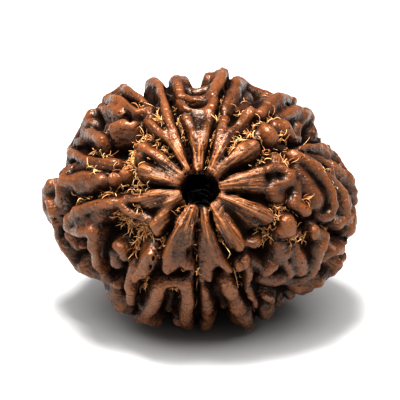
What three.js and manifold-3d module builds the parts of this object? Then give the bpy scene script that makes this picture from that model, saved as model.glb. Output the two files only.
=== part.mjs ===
// A nine mukhi rudraksha: the stone of the rudraksha fruit, one hard woody body with a thread hole.
// Nine clefts run over it from pole to pole, and between them stand knobbly ribs, blocks and knobs.
// Millimetres and degrees, +Z up. The stone lies on a small flat spot, its hole rising towards -Y.
import * as THREE from "three";
import { mergeVertices } from "three/addons/utils/BufferGeometryUtils.js";
import Module from "manifold-3d";

// Driving dimensions
const HALF_WIDTH = 11.3; // the ellipsoid that the ribs' heights are measured from: across
const HALF_HEIGHT = 8.8; // at a right angle to that and to the hole
const HALF_LENGTH = 9.9; // along the hole
const FLOOR_SINK = 0.15; // how far the floor between the ribs lies below the ellipsoid
const HOLE_RADIUS = 1.45; // at the near mouth
const FAR_HOLE_RADIUS = 1.15;
const HOLE_LEAN = 1.1; // how far below the far pole the hole comes out
const HOLE_RISE = 30; // degrees from the surface up to the hole's axis
const CENTRE = [0, 0.04, 10.4]; // the stone's centre above the spot that it lies on
const CLEFT_HALF_WIDTH = 0.07;
const CLEFT_DEPTH = 0.5; // below the ellipsoid
const RIB_FULLNESS = 1.3; // how much broader a rib is than the rounded top that its table gives
const RIB_FLARE = 0.42; // how much a rib widens for each millimetre down its side
const BLEND = 0.25; // fillet where ribs meet each other and the floor
const CUT_BLEND = 0.25; // rounding along the lip of a cleft or a hollow

// The mesh: columns of points from pole to pole, so many from each cleft to the next, and rings across them.
const COLUMNS = [15, 14, 7, 8, 18, 16, 7, 7, 14];
const RINGS = 41;
const FIRST_RING = 0.115; // its reach, the ring next to the hole's mouth

// How far the stone swells or is flattened around its girth: [angle about the hole, share of its size].
const SWELLS = [
  [0, 0.01], [12, -0.02], [22, -0.07], [31, -0.09], [37, -0.13], [43, -0.04], [50, -0.01], [57, 0.01],
  [64, -0.06], [70, -0.09], [76, -0.03], [84, -0.01], [94, -0.02], [102, -0.05], [107, -0.02], [113, -0.07],
  [119, 0.04], [125, 0.02], [136, -0.03], [145, -0.07], [155, -0.08], [162, -0.11], [172, -0.01], [180, 0],
  [193, -0.05], [206, -0.05], [213, -0.05], [222, -0.11], [232, -0.04], [241, 0.02], [250, 0.03], [262, 0],
  [302, -0.02], [310, 0.02], [324, 0.02], [335, 0.05], [341, 0.01], [350, 0.02], [360, 0.01],
];

// Each cleft's angle about the hole, at the pole and half way round. It turns evenly in between.
const CLEFTS = [
  [346.5, 340],
  [391, 392],
  [440, 439.3],
  [467.5, 462.5],
  [487, 488.5],
  [541, 550],
  [599, 606],
  [626.5, 628.5],
  [645.5, 651],
];

// The ribs of the near half, one list for each segment from a cleft to the next, turning from right to top.
// A rib's points are [angle about the hole, reach, half-width, crest above the ellipsoid].
// Reach is 0 at the near pole, 1 half way round and 2 at the far pole.
const RIGHT = [
  [[370, 0.09, 0.3, 1.1], [375, 0.17, 0.4, 1.6], [379, 0.26, 0.35, 2.0]],
  [[366, 0.13, 0.4, 1.0], [366, 0.2, 0.7, 1.3], [367, 0.245, 0.75, 1.5]],
  [[379, 0.305, 0.3, 1.7], [380.5, 0.34, 0.3, 1.8], [378, 0.385, 0.28, 1.8], [373, 0.42, 0.28, 1.8]],
  [[373, 0.42, 0.28, 1.8], [369, 0.41, 0.35, 1.7], [365, 0.37, 0.4, 1.7], [364, 0.32, 0.4, 1.6]],
  [[370, 0.33, 0.6, 1.2]],
  [[358, 0.31, 0.55, 1.4], [355, 0.35, 0.6, 1.4], [352, 0.33, 0.45, 1.2]],
  [[387, 0.385, 0.45, 1.6]],
  [[388, 0.49, 0.3, 1.6], [383, 0.5, 0.42, 1.9], [378, 0.54, 0.5, 2.0], [373, 0.575, 0.5, 1.9]],
  [[373, 0.575, 0.5, 1.9], [368, 0.61, 0.35, 1.9], [361, 0.645, 0.32, 1.9], [354, 0.665, 0.35, 1.8]],
  [[354, 0.665, 0.35, 1.8], [349, 0.665, 0.4, 1.6], [346, 0.6, 0.35, 1.5]],
  [[372, 0.47, 0.7, 1.5], [364, 0.5, 0.9, 1.6], [357, 0.57, 1.0, 1.6]],
  [[365, 0.435, 0.35, 1.6], [358, 0.435, 0.35, 1.6], [351, 0.42, 0.4, 1.5], [348, 0.5, 0.45, 1.5]],
  [[388, 0.57, 0.28, 1.5], [387.5, 0.65, 0.3, 1.6], [386, 0.74, 0.32, 1.7], [382, 0.82, 0.35, 1.6]],
  [[382, 0.58, 0.25, 1.6], [379, 0.65, 0.25, 1.5], [374, 0.71, 0.28, 1.5], [369, 0.72, 0.25, 1.4]],
  [[387, 0.88, 0.4, 1.5], [381, 1.0, 0.35, 1.9], [376, 1.02, 0.35, 1.9], [370, 1.0, 0.4, 1.8]],
  [[376, 0.82, 0.5, 1.4], [372, 0.9, 0.55, 1.5]],
  [[369, 0.66, 0.28, 1.6], [366, 0.72, 0.28, 1.6], [361, 0.765, 0.3, 1.7], [355, 0.79, 0.28, 1.7]],
  [[355, 0.79, 0.28, 1.7], [350, 0.82, 0.28, 1.6], [346, 0.78, 0.3, 1.4]],
  [[370, 0.95, 0.5, 1.9], [367, 1.03, 0.6, 2.0], [361, 1.06, 0.55, 2.0]],
  [[354, 0.94, 0.4, 1.7], [351, 1.03, 0.45, 1.9], [346, 1.04, 0.45, 1.9], [343.5, 0.94, 0.4, 1.6]],
  [[356, 0.9, 0.35, 1.4], [360, 0.88, 0.3, 1.3]],
];
const UPPER_RIGHT = [
  [[412, 0.1, 0.32, 1.2], [409.5, 0.18, 0.42, 1.6], [407.5, 0.27, 0.5, 1.9], [406, 0.33, 0.48, 1.9]],
  [[404.5, 0.28, 0.55, 1.4], [403.5, 0.33, 0.5, 1.3]],
  [[430, 0.1, 0.3, 1.2], [428, 0.2, 0.35, 1.6], [426.5, 0.3, 0.32, 1.8], [424, 0.4, 0.32, 1.9]],
  [[424, 0.4, 0.32, 1.9], [421.5, 0.5, 0.42, 1.9]],
  [[424.5, 0.3, 0.4, 1.2], [421, 0.42, 0.5, 1.3]],
  [[432, 0.18, 0.3, 1.4], [434, 0.29, 0.4, 1.7], [435.5, 0.36, 0.42, 1.7], [435, 0.42, 0.42, 1.6]],
  [[430.5, 0.4, 0.5, 1.2]],
  [[436, 0.49, 0.42, 1.6], [434.5, 0.56, 0.45, 1.7], [434.5, 0.66, 0.45, 1.8], [435, 0.8, 0.45, 2.0]],
  [[435, 0.8, 0.45, 2.0], [434, 0.93, 0.5, 2.2], [433.5, 1.05, 0.5, 2.1]],
  [[429, 0.95, 0.4, 1.6], [428.5, 0.82, 0.35, 1.6], [428, 0.7, 0.3, 1.5]],
  [[431, 0.56, 0.7, 1.4], [427.5, 0.62, 0.65, 1.4]],
  [[422, 0.9, 0.45, 1.6]],
  [[424, 0.7, 0.4, 1.0], [421, 0.78, 0.4, 1.1]],
  [[417, 0.54, 0.42, 1.7], [417.5, 0.62, 0.5, 1.9], [416, 0.75, 0.5, 1.9], [415, 0.88, 0.5, 1.9]],
  [[414.5, 0.6, 0.45, 1.4], [412.5, 0.72, 0.5, 1.5]],
  [[413, 0.95, 0.35, 1.9], [412, 1.02, 0.35, 2.0]],
  [[409, 0.47, 0.45, 1.7], [406.5, 0.45, 0.6, 1.9], [403.5, 0.44, 0.6, 1.7]],
  [[410, 0.4, 0.3, 1.2], [411, 0.47, 0.3, 1.3]],
  [[406.5, 0.53, 0.4, 1.8], [403.5, 0.56, 0.5, 1.9], [400, 0.58, 0.5, 1.8], [397.5, 0.6, 0.4, 1.6]],
  [[408.5, 0.6, 0.32, 1.5], [408, 0.72, 0.38, 1.7], [407.5, 0.86, 0.4, 1.8]],
  [[404, 0.88, 0.4, 1.9], [404, 1.0, 0.45, 2.2], [402, 1.03, 0.45, 2.2], [399.5, 0.96, 0.4, 1.7]],
  [[396, 0.62, 0.38, 1.4], [395.5, 0.7, 0.35, 1.2]],
  [[399, 0.72, 0.5, 1.2], [402, 0.75, 0.4, 1.1]],
  [[396, 0.42, 0.35, 0.9], [394, 0.5, 0.35, 1.0]],
];
const TOP = [
  [[451, 0.09, 0.25, 1.1], [451, 0.2, 0.4, 1.6], [455, 0.29, 0.32, 1.7], [459, 0.4, 0.28, 1.7]],
  [[450, 0.2, 0.35, 1.6], [447, 0.29, 0.3, 1.7], [445, 0.35, 0.28, 1.6], [444, 0.43, 0.28, 1.5]],
  [[451, 0.29, 0.5, 1.2], [451, 0.36, 0.7, 1.3], [451, 0.4, 0.6, 1.3]],
  [[460.5, 0.53, 0.3, 1.6], [459, 0.47, 0.3, 1.7], [456, 0.455, 0.25, 1.5], [451, 0.45, 0.25, 1.4]],
  [[451, 0.45, 0.25, 1.4], [447, 0.465, 0.25, 1.5], [444, 0.5, 0.3, 1.6]],
  [[457, 0.6, 0.25, 1.4], [453, 0.56, 0.28, 1.4], [448, 0.56, 0.28, 1.4], [445, 0.6, 0.25, 1.4]],
  [[458, 0.74, 0.25, 1.3], [451, 0.71, 0.28, 1.2], [445, 0.73, 0.25, 1.3]],
  [[444.5, 0.45, 0.3, 1.6], [443, 0.56, 0.38, 1.8], [441.7, 0.68, 0.42, 2.0], [441.5, 0.8, 0.45, 2.2]],
  [[441.5, 0.8, 0.45, 2.2], [441.8, 0.95, 0.5, 2.5], [442, 1.08, 0.5, 2.3]],
  [[446, 0.85, 0.45, 1.9], [446, 1.0, 0.5, 2.0]],
  [[459.5, 0.6, 0.35, 1.6], [459.5, 0.7, 0.4, 1.9], [460, 0.85, 0.45, 2.1], [460, 1.0, 0.5, 2.1]],
  [[456, 0.78, 0.3, 1.5], [457, 0.9, 0.35, 1.8], [457.5, 1.0, 0.4, 1.9]],
];
const UPPER_LEFT = [
  [[476, 0.1, 0.3, 1.3], [474, 0.2, 0.38, 1.7], [472, 0.28, 0.32, 1.8], [469.5, 0.38, 0.28, 1.9]],
  [[469.5, 0.38, 0.28, 1.9], [468.5, 0.5, 0.3, 1.9], [466.7, 0.64, 0.32, 2.0], [466, 0.78, 0.35, 2.0]],
  [[467, 0.8, 0.45, 2.0], [468.5, 0.92, 0.5, 2.2], [469, 1.04, 0.5, 2.2]],
  [[471, 0.85, 0.45, 1.6], [471.5, 0.75, 0.4, 1.3]],
  [[479.5, 0.98, 0.32, 1.8], [478.5, 0.8, 0.3, 1.6], [477, 0.66, 0.28, 1.4], [475.5, 0.56, 0.28, 1.4]],
  [[475, 0.23, 0.3, 1.5], [477, 0.33, 0.28, 1.6], [479.5, 0.4, 0.28, 1.5], [481, 0.44, 0.26, 1.3]],
  [[483, 0.54, 0.26, 1.5], [477.5, 0.53, 0.25, 1.5], [473.5, 0.56, 0.25, 1.5], [469.5, 0.58, 0.25, 1.6]],
  [[478.5, 0.49, 0.3, 1.1], [482, 0.47, 0.3, 1.1]],
  [[487, 0.92, 0.35, 1.9], [485.5, 0.76, 0.32, 1.8], [484.5, 0.65, 0.3, 1.6], [483, 0.55, 0.28, 1.5]],
  [[480, 1.0, 0.45, 1.9], [484, 1.05, 0.55, 2.0], [487.5, 1.0, 0.5, 1.9]],
  [[483, 0.85, 0.5, 1.5]],
];
const LEFT = [
  [[499, 0.1, 0.25, 1.1], [499.5, 0.2, 0.32, 1.5], [498.5, 0.28, 0.35, 1.6], [497.5, 0.35, 0.32, 1.6]],
  [[492, 0.14, 0.22, 0.9], [491, 0.25, 0.22, 1.0], [490.5, 0.36, 0.25, 1.0]],
  [[506.5, 0.33, 0.42, 1.4]],
  [[498, 0.55, 0.4, 1.8], [493.5, 0.52, 0.42, 1.9], [489.8, 0.48, 0.36, 1.7]],
  [[491, 0.98, 0.3, 1.8], [490.8, 0.8, 0.33, 1.8], [490, 0.68, 0.35, 1.8], [489.5, 0.61, 0.3, 1.5]],
  [[494.5, 1.02, 0.3, 2.0]],
  [[500, 0.88, 0.5, 1.8], [500.5, 0.98, 0.5, 1.9]],
  [[496.5, 0.7, 0.4, 1.2], [499, 0.66, 0.4, 1.1]],
  [[504, 0.97, 0.35, 1.8], [506, 0.88, 0.38, 1.7], [505.5, 0.76, 0.4, 1.6]],
  [[505.5, 0.76, 0.4, 1.6], [506, 0.67, 0.48, 1.7], [507.5, 0.6, 0.4, 1.5]],
  [[511, 0.95, 0.35, 1.7], [509.5, 0.85, 0.3, 1.4]],
  [[514.5, 1.02, 0.38, 1.9], [517, 0.86, 0.32, 1.8], [519, 0.72, 0.3, 1.7], [519.7, 0.6, 0.3, 1.6]],
  [[519.7, 0.6, 0.3, 1.6], [519, 0.5, 0.28, 1.5], [517, 0.44, 0.25, 1.3]],
  [[525, 0.1, 0.3, 1.1], [522, 0.16, 0.42, 1.6], [519, 0.22, 0.45, 1.8], [518, 0.265, 0.45, 1.7]],
  [[517, 0.2, 0.4, 1.5], [514, 0.26, 0.35, 1.4]],
  [[526, 0.355, 0.38, 1.4]],
  [[531, 0.4, 0.42, 1.5]],
  [[533, 0.47, 0.4, 1.6], [532, 0.55, 0.45, 1.7], [532, 0.65, 0.45, 1.7], [532.5, 0.73, 0.4, 1.7]],
  [[536, 0.5, 0.4, 1.2], [536, 0.62, 0.45, 1.3]],
  [[532.5, 0.73, 0.4, 1.7], [529, 0.74, 0.3, 1.6], [525, 0.72, 0.28, 1.5]],
  [[525, 0.72, 0.28, 1.5], [524, 0.62, 0.28, 1.5], [524, 0.52, 0.28, 1.5], [522.5, 0.45, 0.25, 1.3]],
  [[528, 0.86, 0.3, 1.5], [525.5, 0.8, 0.28, 1.5], [524, 0.86, 0.3, 1.5]],
  [[522, 1.0, 0.35, 1.8], [523, 0.88, 0.35, 1.5]],
  [[533, 0.82, 0.28, 1.5], [537, 0.77, 0.35, 1.5], [541, 0.78, 0.32, 1.4], [543, 0.84, 0.28, 1.3]],
  [[533.5, 0.97, 0.35, 1.8], [537, 1.06, 0.45, 2.1], [543, 1.08, 0.5, 2.1], [548, 1.03, 0.45, 1.9]],
  [[548, 1.03, 0.45, 1.9], [547, 0.92, 0.35, 1.5]],
];
const LOWER_LEFT = [
  [[551, 0.09, 0.28, 1.2], [549, 0.18, 0.32, 1.6], [550.5, 0.27, 0.3, 1.6], [549, 0.34, 0.28, 1.4]],
  [[558, 0.1, 0.28, 1.2], [559, 0.2, 0.28, 1.3], [559, 0.27, 0.25, 1.2]],
  [[552.5, 0.36, 0.26, 1.5], [558, 0.35, 0.26, 1.4], [566, 0.33, 0.26, 1.4], [573, 0.29, 0.26, 1.4]],
  [[566, 0.1, 0.32, 1.3], [572, 0.15, 0.4, 1.7], [579, 0.21, 0.45, 1.8], [585, 0.27, 0.45, 1.7]],
  [[586, 0.22, 0.35, 1.4], [590, 0.29, 0.38, 1.4]],
  [[549.5, 0.4, 0.36, 1.7], [549, 0.5, 0.34, 1.8], [550.5, 0.62, 0.38, 1.9], [553, 0.72, 0.5, 2.0]],
  [[553, 0.72, 0.5, 2.0], [556, 0.76, 0.52, 2.0], [559, 0.72, 0.4, 1.9]],
  [[555, 0.5, 0.5, 1.4], [556, 0.58, 0.7, 1.6], [557, 0.65, 0.6, 1.7]],
  [[559, 0.72, 0.4, 1.9], [561, 0.64, 0.4, 1.9], [563, 0.57, 0.4, 1.9]],
  [[563, 0.57, 0.4, 1.9], [568, 0.6, 0.4, 1.8], [572, 0.65, 0.38, 1.8], [577, 0.73, 0.35, 1.7]],
  [[577, 0.73, 0.35, 1.7], [582, 0.82, 0.35, 1.6], [587, 0.9, 0.35, 1.5], [591, 1.0, 0.35, 1.5]],
  [[568, 0.83, 0.3, 0.9]],
  [[551, 0.97, 0.35, 1.8], [556, 1.04, 0.4, 2.0], [563, 1.03, 0.38, 2.0], [571, 1.0, 0.35, 1.8]],
  [[560, 0.93, 0.5, 1.2], [566, 0.92, 0.4, 1.0]],
  [[571, 1.0, 0.35, 1.8], [577, 0.98, 0.35, 1.6], [583, 1.0, 0.4, 1.6]],
  [[578, 0.53, 0.35, 1.5], [583, 0.53, 0.38, 1.6], [586, 0.56, 0.35, 1.4]],
  [[580, 0.6, 0.55, 1.3], [585, 0.66, 0.6, 1.3]],
  [[593, 0.55, 0.26, 1.4], [595, 0.62, 0.26, 1.4], [598, 0.72, 0.3, 1.5]],
  [[595.5, 0.42, 0.26, 1.9], [596.5, 0.5, 0.25, 1.7], [598.5, 0.6, 0.25, 1.5]],
  [[599, 0.41, 0.48, 1.9], [600, 0.49, 0.42, 1.7], [601, 0.56, 0.32, 1.4]],
  [[600, 0.72, 0.4, 1.5], [602, 0.8, 0.42, 1.6], [604, 0.86, 0.35, 1.5]],
  [[594, 0.92, 0.5, 1.6], [597, 1.03, 0.55, 1.9], [601, 1.06, 0.5, 1.9], [603, 0.97, 0.4, 1.7]],
  [[590, 0.88, 0.35, 1.2], [593, 0.83, 0.3, 1.2]],
];
const BOTTOM_LEFT = [
  [[606, 0.09, 0.3, 1.2], [606.5, 0.2, 0.4, 1.7], [608, 0.3, 0.32, 1.8], [608.5, 0.38, 0.32, 1.7]],
  [[608.5, 0.38, 0.32, 1.7], [610.5, 0.46, 0.35, 1.6]],
  [[613, 0.2, 0.35, 1.3], [615, 0.3, 0.5, 1.4], [615, 0.38, 0.6, 1.4], [613, 0.44, 0.4, 1.3]],
  [[618, 0.1, 0.25, 1.1], [620, 0.2, 0.3, 1.4], [621, 0.3, 0.35, 1.4]],
  [[624.2, 0.12, 0.16, 1.1], [625, 0.3, 0.16, 1.1], [625.8, 0.6, 0.16, 1.1]],
  [[620, 0.4, 0.35, 1.2], [622, 0.43, 0.28, 1.3]],
  [[611.5, 0.6, 0.28, 1.4], [614, 0.565, 0.28, 1.5], [618, 0.55, 0.28, 1.4], [622, 0.57, 0.3, 1.5]],
  [[611.5, 0.6, 0.42, 1.7], [610.5, 0.7, 0.45, 1.8], [609.5, 0.85, 0.48, 1.8], [609, 0.98, 0.42, 1.7]],
  [[623.5, 0.56, 0.4, 1.6], [624.3, 0.68, 0.45, 1.8], [624.8, 0.85, 0.48, 2.0], [625, 1.02, 0.45, 2.0]],
  [[617, 0.66, 0.2, 0.9], [617.5, 0.9, 0.25, 1.0]],
];
const BOTTOM_RIGHT = [
  [[637, 0.09, 0.22, 1.2], [638.5, 0.17, 0.32, 1.6], [640, 0.25, 0.3, 1.6], [642, 0.33, 0.28, 1.5]],
  [[642, 0.33, 0.28, 1.5], [644.5, 0.41, 0.28, 1.5], [647, 0.465, 0.32, 1.5]],
  [[634, 0.24, 0.4, 1.3], [636, 0.34, 0.6, 1.3], [637, 0.42, 0.5, 1.2]],
  [[635, 0.42, 0.35, 1.3], [634.8, 0.52, 0.22, 1.3]],
  [[630.3, 0.15, 0.16, 1.1], [630.3, 0.35, 0.16, 1.1], [631, 0.55, 0.18, 1.1]],
  [[632.3, 0.6, 0.32, 1.4], [632.6, 0.75, 0.34, 1.5], [632.8, 0.92, 0.32, 1.5], [633, 1.0, 0.26, 1.4]],
  [[643, 0.55, 0.36, 1.7], [644, 0.62, 0.45, 1.8], [645.5, 0.75, 0.45, 1.8], [646.5, 0.9, 0.45, 1.9]],
  [[646.5, 0.9, 0.45, 1.9], [647.5, 1.04, 0.42, 2.0]],
  [[639, 0.6, 0.22, 0.8], [640, 0.85, 0.25, 0.9]],
];
const LOWER_RIGHT = [
  [[655, 0.1, 0.28, 1.2], [655, 0.2, 0.3, 1.5], [654, 0.29, 0.28, 1.4]],
  [[664, 0.1, 0.28, 1.2], [662.5, 0.2, 0.34, 1.6], [661, 0.28, 0.34, 1.7], [660.5, 0.345, 0.4, 1.8]],
  [[657, 0.22, 0.4, 1.2], [656, 0.32, 0.5, 1.3]],
  [[698, 0.09, 0.3, 1.2], [697, 0.17, 0.35, 1.6], [694.5, 0.25, 0.35, 1.8], [693, 0.33, 0.32, 1.7]],
  [[688, 0.12, 0.4, 1.1], [687, 0.2, 0.6, 1.2], [686, 0.29, 0.7, 1.1]],
  [[675, 0.12, 0.25, 0.9], [675, 0.22, 0.28, 0.9], [673, 0.3, 0.3, 0.8]],
  [[697, 0.42, 0.5, 1.8], [693, 0.445, 0.6, 1.9], [689.5, 0.44, 0.52, 1.7]],
  [[667, 0.36, 0.3, 1.1], [671, 0.385, 0.42, 1.4]],
  [[665, 0.345, 0.25, 0.9], [663, 0.4, 0.25, 0.8]],
  [[652.5, 0.46, 0.42, 1.7], [656.5, 0.455, 0.48, 1.8], [659, 0.44, 0.35, 1.5]],
  [[658.5, 0.46, 0.25, 1.6], [656.5, 0.53, 0.25, 1.5], [653.5, 0.6, 0.22, 1.4], [651.8, 0.68, 0.22, 1.4]],
  [[651.8, 0.72, 0.26, 1.5], [652, 0.88, 0.28, 1.5]],
  [[653.5, 0.98, 0.32, 1.7], [654, 1.08, 0.35, 1.9]],
  [[657.5, 0.78, 0.22, 1.4], [659.5, 0.88, 0.22, 1.6], [658.5, 1.0, 0.28, 1.8], [656, 1.05, 0.3, 1.8]],
  [[661, 0.47, 0.25, 1.1], [663.5, 0.52, 0.25, 1.1]],
  [[669, 0.555, 0.36, 1.5], [664.5, 0.575, 0.38, 1.5]],
  [[662, 0.67, 0.7, 1.0], [668, 0.72, 0.8, 1.1], [673, 0.85, 0.7, 1.2]],
  [[698, 0.585, 0.4, 1.8], [696, 0.6, 0.42, 1.7], [698, 0.67, 0.3, 1.8]],
  [[698, 0.67, 0.3, 1.8], [692.5, 0.66, 0.3, 1.9], [688, 0.69, 0.3, 1.9], [683, 0.74, 0.3, 1.9]],
  [[683, 0.74, 0.3, 1.9], [679, 0.79, 0.3, 1.7], [674, 0.8, 0.3, 1.5]],
  [[680.5, 0.49, 0.45, 1.5], [679.5, 0.54, 0.6, 1.6]],
  [[684, 0.57, 0.6, 1.4], [681, 0.63, 0.8, 1.5], [678, 0.71, 0.7, 1.5]],
  [[675, 0.53, 0.25, 1.4], [673.5, 0.62, 0.25, 1.4], [672, 0.7, 0.25, 1.3]],
  [[692.5, 0.53, 0.25, 1.1]],
  [[688, 0.8, 0.4, 1.4], [693, 0.8, 0.4, 1.5], [696, 0.87, 0.4, 1.6]],
  [[672, 0.98, 0.45, 1.4], [680, 1.0, 0.5, 1.7], [688, 1.02, 0.5, 1.8], [694, 1.02, 0.45, 1.9]],
];
const SEGMENTS = [
  RIGHT, UPPER_RIGHT, TOP, UPPER_LEFT, LEFT, LOWER_LEFT, BOTTOM_LEFT, BOTTOM_RIGHT, LOWER_RIGHT,
];
// The far half grows the same kinds of rib: its segment n repeats this one of the near half, as in a mirror.
const FAR_SEGMENT_REPEATS = [4, 5, 6, 7, 8, 0, 3, 2, 1];

// Hollows between the ribs: [angle, reach, radius, depth below the ellipsoid].
const HOLLOWS = [
  [566, 0.82, 1.0, 1.0],
  [593, 0.74, 0.9, 0.9],
  [618, 0.72, 0.8, 1.0],
  [638, 0.68, 0.9, 0.9],
  [505, 0.5, 0.9, 0.9],
  [515, 0.68, 0.7, 0.8],
  [480, 0.45, 0.8, 0.7],
  [475, 0.7, 0.8, 0.7],
  [570, 0.45, 1.2, 0.7],
  [590, 0.36, 0.9, 0.8],
  [538, 0.88, 0.8, 1.0],
  [684, 0.4, 0.9, 0.7],
  [690, 0.56, 0.7, 0.8],
  [668, 0.47, 0.8, 0.7],
  [381, 0.74, 0.6, 0.8],
  [363, 0.82, 0.8, 0.8],
  [394, 0.38, 0.8, 0.7],
  [410, 0.58, 0.8, 0.6],
];

const radians = THREE.MathUtils.degToRad;
const degrees = THREE.MathUtils.radToDeg;
const lerp = THREE.MathUtils.lerp;
const ELLIPSOID = new THREE.Vector3(HALF_WIDTH, HALF_HEIGHT, HALF_LENGTH);

function swell(angle, reach) {
  const turned = THREE.MathUtils.euclideanModulo(angle, 360);
  const next = Math.max(SWELLS.findIndex(([at]) => at >= turned), 1);
  const [[from, low], [to, high]] = [SWELLS[next - 1], SWELLS[next]];
  const share = THREE.MathUtils.smoothstep(turned, from, to);
  return 1 + lerp(low, high, share) * Math.sin(radians(90 * reach)) ** 2;
}

// The stone's own frame has its hole along Z, with the near pole at +Z.
function direction(angle, reach) {
  const turn = radians(angle);
  const fall = radians(90 * reach);
  return new THREE.Vector3(
    ELLIPSOID.x * Math.sin(fall) * Math.cos(turn),
    ELLIPSOID.y * Math.sin(fall) * Math.sin(turn),
    ELLIPSOID.z * Math.cos(fall),
  );
}

function angleAndReach(point) {
  const scaled = point.clone().divide(ELLIPSOID);
  const angle = degrees(Math.atan2(scaled.y, scaled.x));
  const reach = degrees(Math.acos(THREE.MathUtils.clamp(scaled.z / scaled.length(), -1, 1))) / 90;
  return [angle, reach];
}

function foot(angle, reach) {
  return direction(angle, reach).multiplyScalar(swell(angle, reach));
}

function outward(point) {
  return point.clone().divide(ELLIPSOID).divide(ELLIPSOID).normalize();
}

function ellipsoidDistance(point) {
  const scaled = point.clone().divide(ELLIPSOID);
  const size = scaled.length();
  const swollen = swell(...angleAndReach(point));
  return (size * (size - swollen)) / scaled.divide(ELLIPSOID).length();
}

function cleftAngle(cleft, reach) {
  const [atPole, halfWayRound] = CLEFTS[cleft % CLEFTS.length];
  const turns = 360 * Math.floor(cleft / CLEFTS.length);
  return turns + lerp(atPole, halfWayRound, Math.min(reach, 2 - reach));
}

// A small regular disorder, from -1 to 1, that keeps the far half from being a plain mirror.
function disorder(n) {
  return Math.sin(12.9898 * n + 4.1);
}

// The points of a near rib carried to the same share of another segment on the far half.
function carriedToFar(rib, from, to, seed) {
  return rib.map(([angle, reach, halfWidth, crest]) => {
    const start = cleftAngle(from, reach);
    const share = 1 - (angle - start) / (cleftAngle(from + 1, reach) - start);
    const farReach = 2 - reach + 0.015 * disorder(seed + 1);
    const farAngle = lerp(cleftAngle(to, farReach), cleftAngle(to + 1, farReach), share);
    const scale = 1 + 0.1 * disorder(seed + 2);
    return [farAngle + disorder(seed), farReach, halfWidth * scale, crest * scale];
  });
}

// A rib's stretch between two of its points: both ends' centres and radii, and the way it stands.
function stretchBetween(first, second) {
  const ends = [first, second].map(([angle, reach, halfWidth, crest]) => {
    const root = foot(angle, reach);
    const radius = halfWidth * RIB_FULLNESS;
    return { centre: outward(root).multiplyScalar(crest - radius).add(root), radius };
  });
  const along = ends[1].centre.clone().sub(ends[0].centre);
  const middle = ends[0].centre.clone().addScaledVector(along, 0.5);
  return { ends, along, middle, up: outward(middle), reaches: 0.5 * along.length() };
}

function stretchesOf(rib) {
  if (rib.length === 1) return [stretchBetween(rib[0], rib[0])];
  return rib.slice(1).map((point, i) => stretchBetween(rib[i], point));
}

function allRibs() {
  const near = SEGMENTS.flat();
  const far = FAR_SEGMENT_REPEATS.flatMap((from, to) =>
    SEGMENTS[from].map((rib, i) => carriedToFar(rib, from, to, 31 * to + 3 * i)),
  );
  return [...near, ...far].map(stretchesOf);
}

function stretchDistance({ ends, along, up }, point) {
  const from = point.clone().sub(ends[0].centre);
  const share = THREE.MathUtils.clamp(from.dot(along) / Math.max(along.lengthSq(), 1e-9), 0, 1);
  const radius = lerp(ends[0].radius, ends[1].radius, share);
  from.addScaledVector(along, -share);
  const above = from.dot(up);
  if (above > 0) return from.length() - radius;
  return from.addScaledVector(up, -above).length() - radius + RIB_FLARE * above;
}

function smoothMin(a, b, width) {
  const overlap = Math.max(width - Math.abs(a - b), 0) / width;
  return Math.min(a, b) - (overlap * overlap * width) / 4;
}

function smoothMax(a, b, width) {
  return -smoothMin(-a, -b, width);
}

function cleftDistance(point) {
  const [angle, reach] = angleAndReach(point);
  const fromAxis = Math.hypot(point.x, point.y);
  const gaps = CLEFTS.map((_, i) => {
    const off = THREE.MathUtils.euclideanModulo(angle - cleftAngle(i, reach) + 180, 360) - 180;
    return Math.abs(radians(off)) * fromAxis;
  });
  return Math.max(Math.min(...gaps) - CLEFT_HALF_WIDTH, -(ellipsoidDistance(point) + CLEFT_DEPTH));
}

const hollows = HOLLOWS.map(([angle, reach, radius, depth]) => {
  const mouth = foot(angle, reach);
  return { centre: outward(mouth).multiplyScalar(radius - depth).add(mouth), radius };
});

function stoneDistance(point, ribs) {
  let distance = ellipsoidDistance(point) + FLOOR_SINK;
  for (const { centre, radius } of hollows)
    distance = smoothMax(distance, radius - point.distanceTo(centre), CUT_BLEND);
  for (const stretches of ribs) {
    const rib = Math.min(...stretches.map((stretch) => stretchDistance(stretch, point)));
    distance = smoothMin(distance, rib, BLEND);
  }
  return smoothMax(distance, -cleftDistance(point), CUT_BLEND);
}

const ribs = allRibs();

// The outermost point of the stone on the line from one point, clear outside it, to another inside.
function surfacePoint(outside, inside) {
  const STEP = 0.1;
  const NEARBY = 2.5;
  const way = inside.clone().sub(outside).normalize();
  const middle = outside.clone().lerp(inside, 0.5);
  const length = outside.distanceTo(inside);
  const isNear = (s) => s.middle.distanceTo(middle) < s.reaches + length / 2 + NEARBY;
  const near = ribs.filter((stretches) => stretches.some(isNear));
  const distanceAt = (gone) => stoneDistance(outside.clone().addScaledVector(way, gone), near);
  let gone = 0;
  while (gone < length && distanceAt(gone) > 0) gone += STEP;
  let [before, after] = [gone - STEP, gone];
  for (let i = 0; i < 8; i += 1) {
    const half = (before + after) / 2;
    if (distanceAt(half) > 0) before = half;
    else after = half;
  }
  return outside.clone().addScaledVector(way, after);
}

function columnAngles(reach) {
  return COLUMNS.flatMap((count, i) => {
    const [from, to] = [cleftAngle(i, reach), cleftAngle(i + 1, reach)];
    return Array.from({ length: count }, (_, n) => lerp(from, to, n / count));
  });
}

function ring(reach) {
  const OUTSIDE = 1.34;
  const INSIDE = 0.84;
  return columnAngles(reach).map((angle) => {
    const way = direction(angle, reach);
    return surfacePoint(way.clone().multiplyScalar(OUTSIDE), way.clone().multiplyScalar(INSIDE));
  });
}

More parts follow.
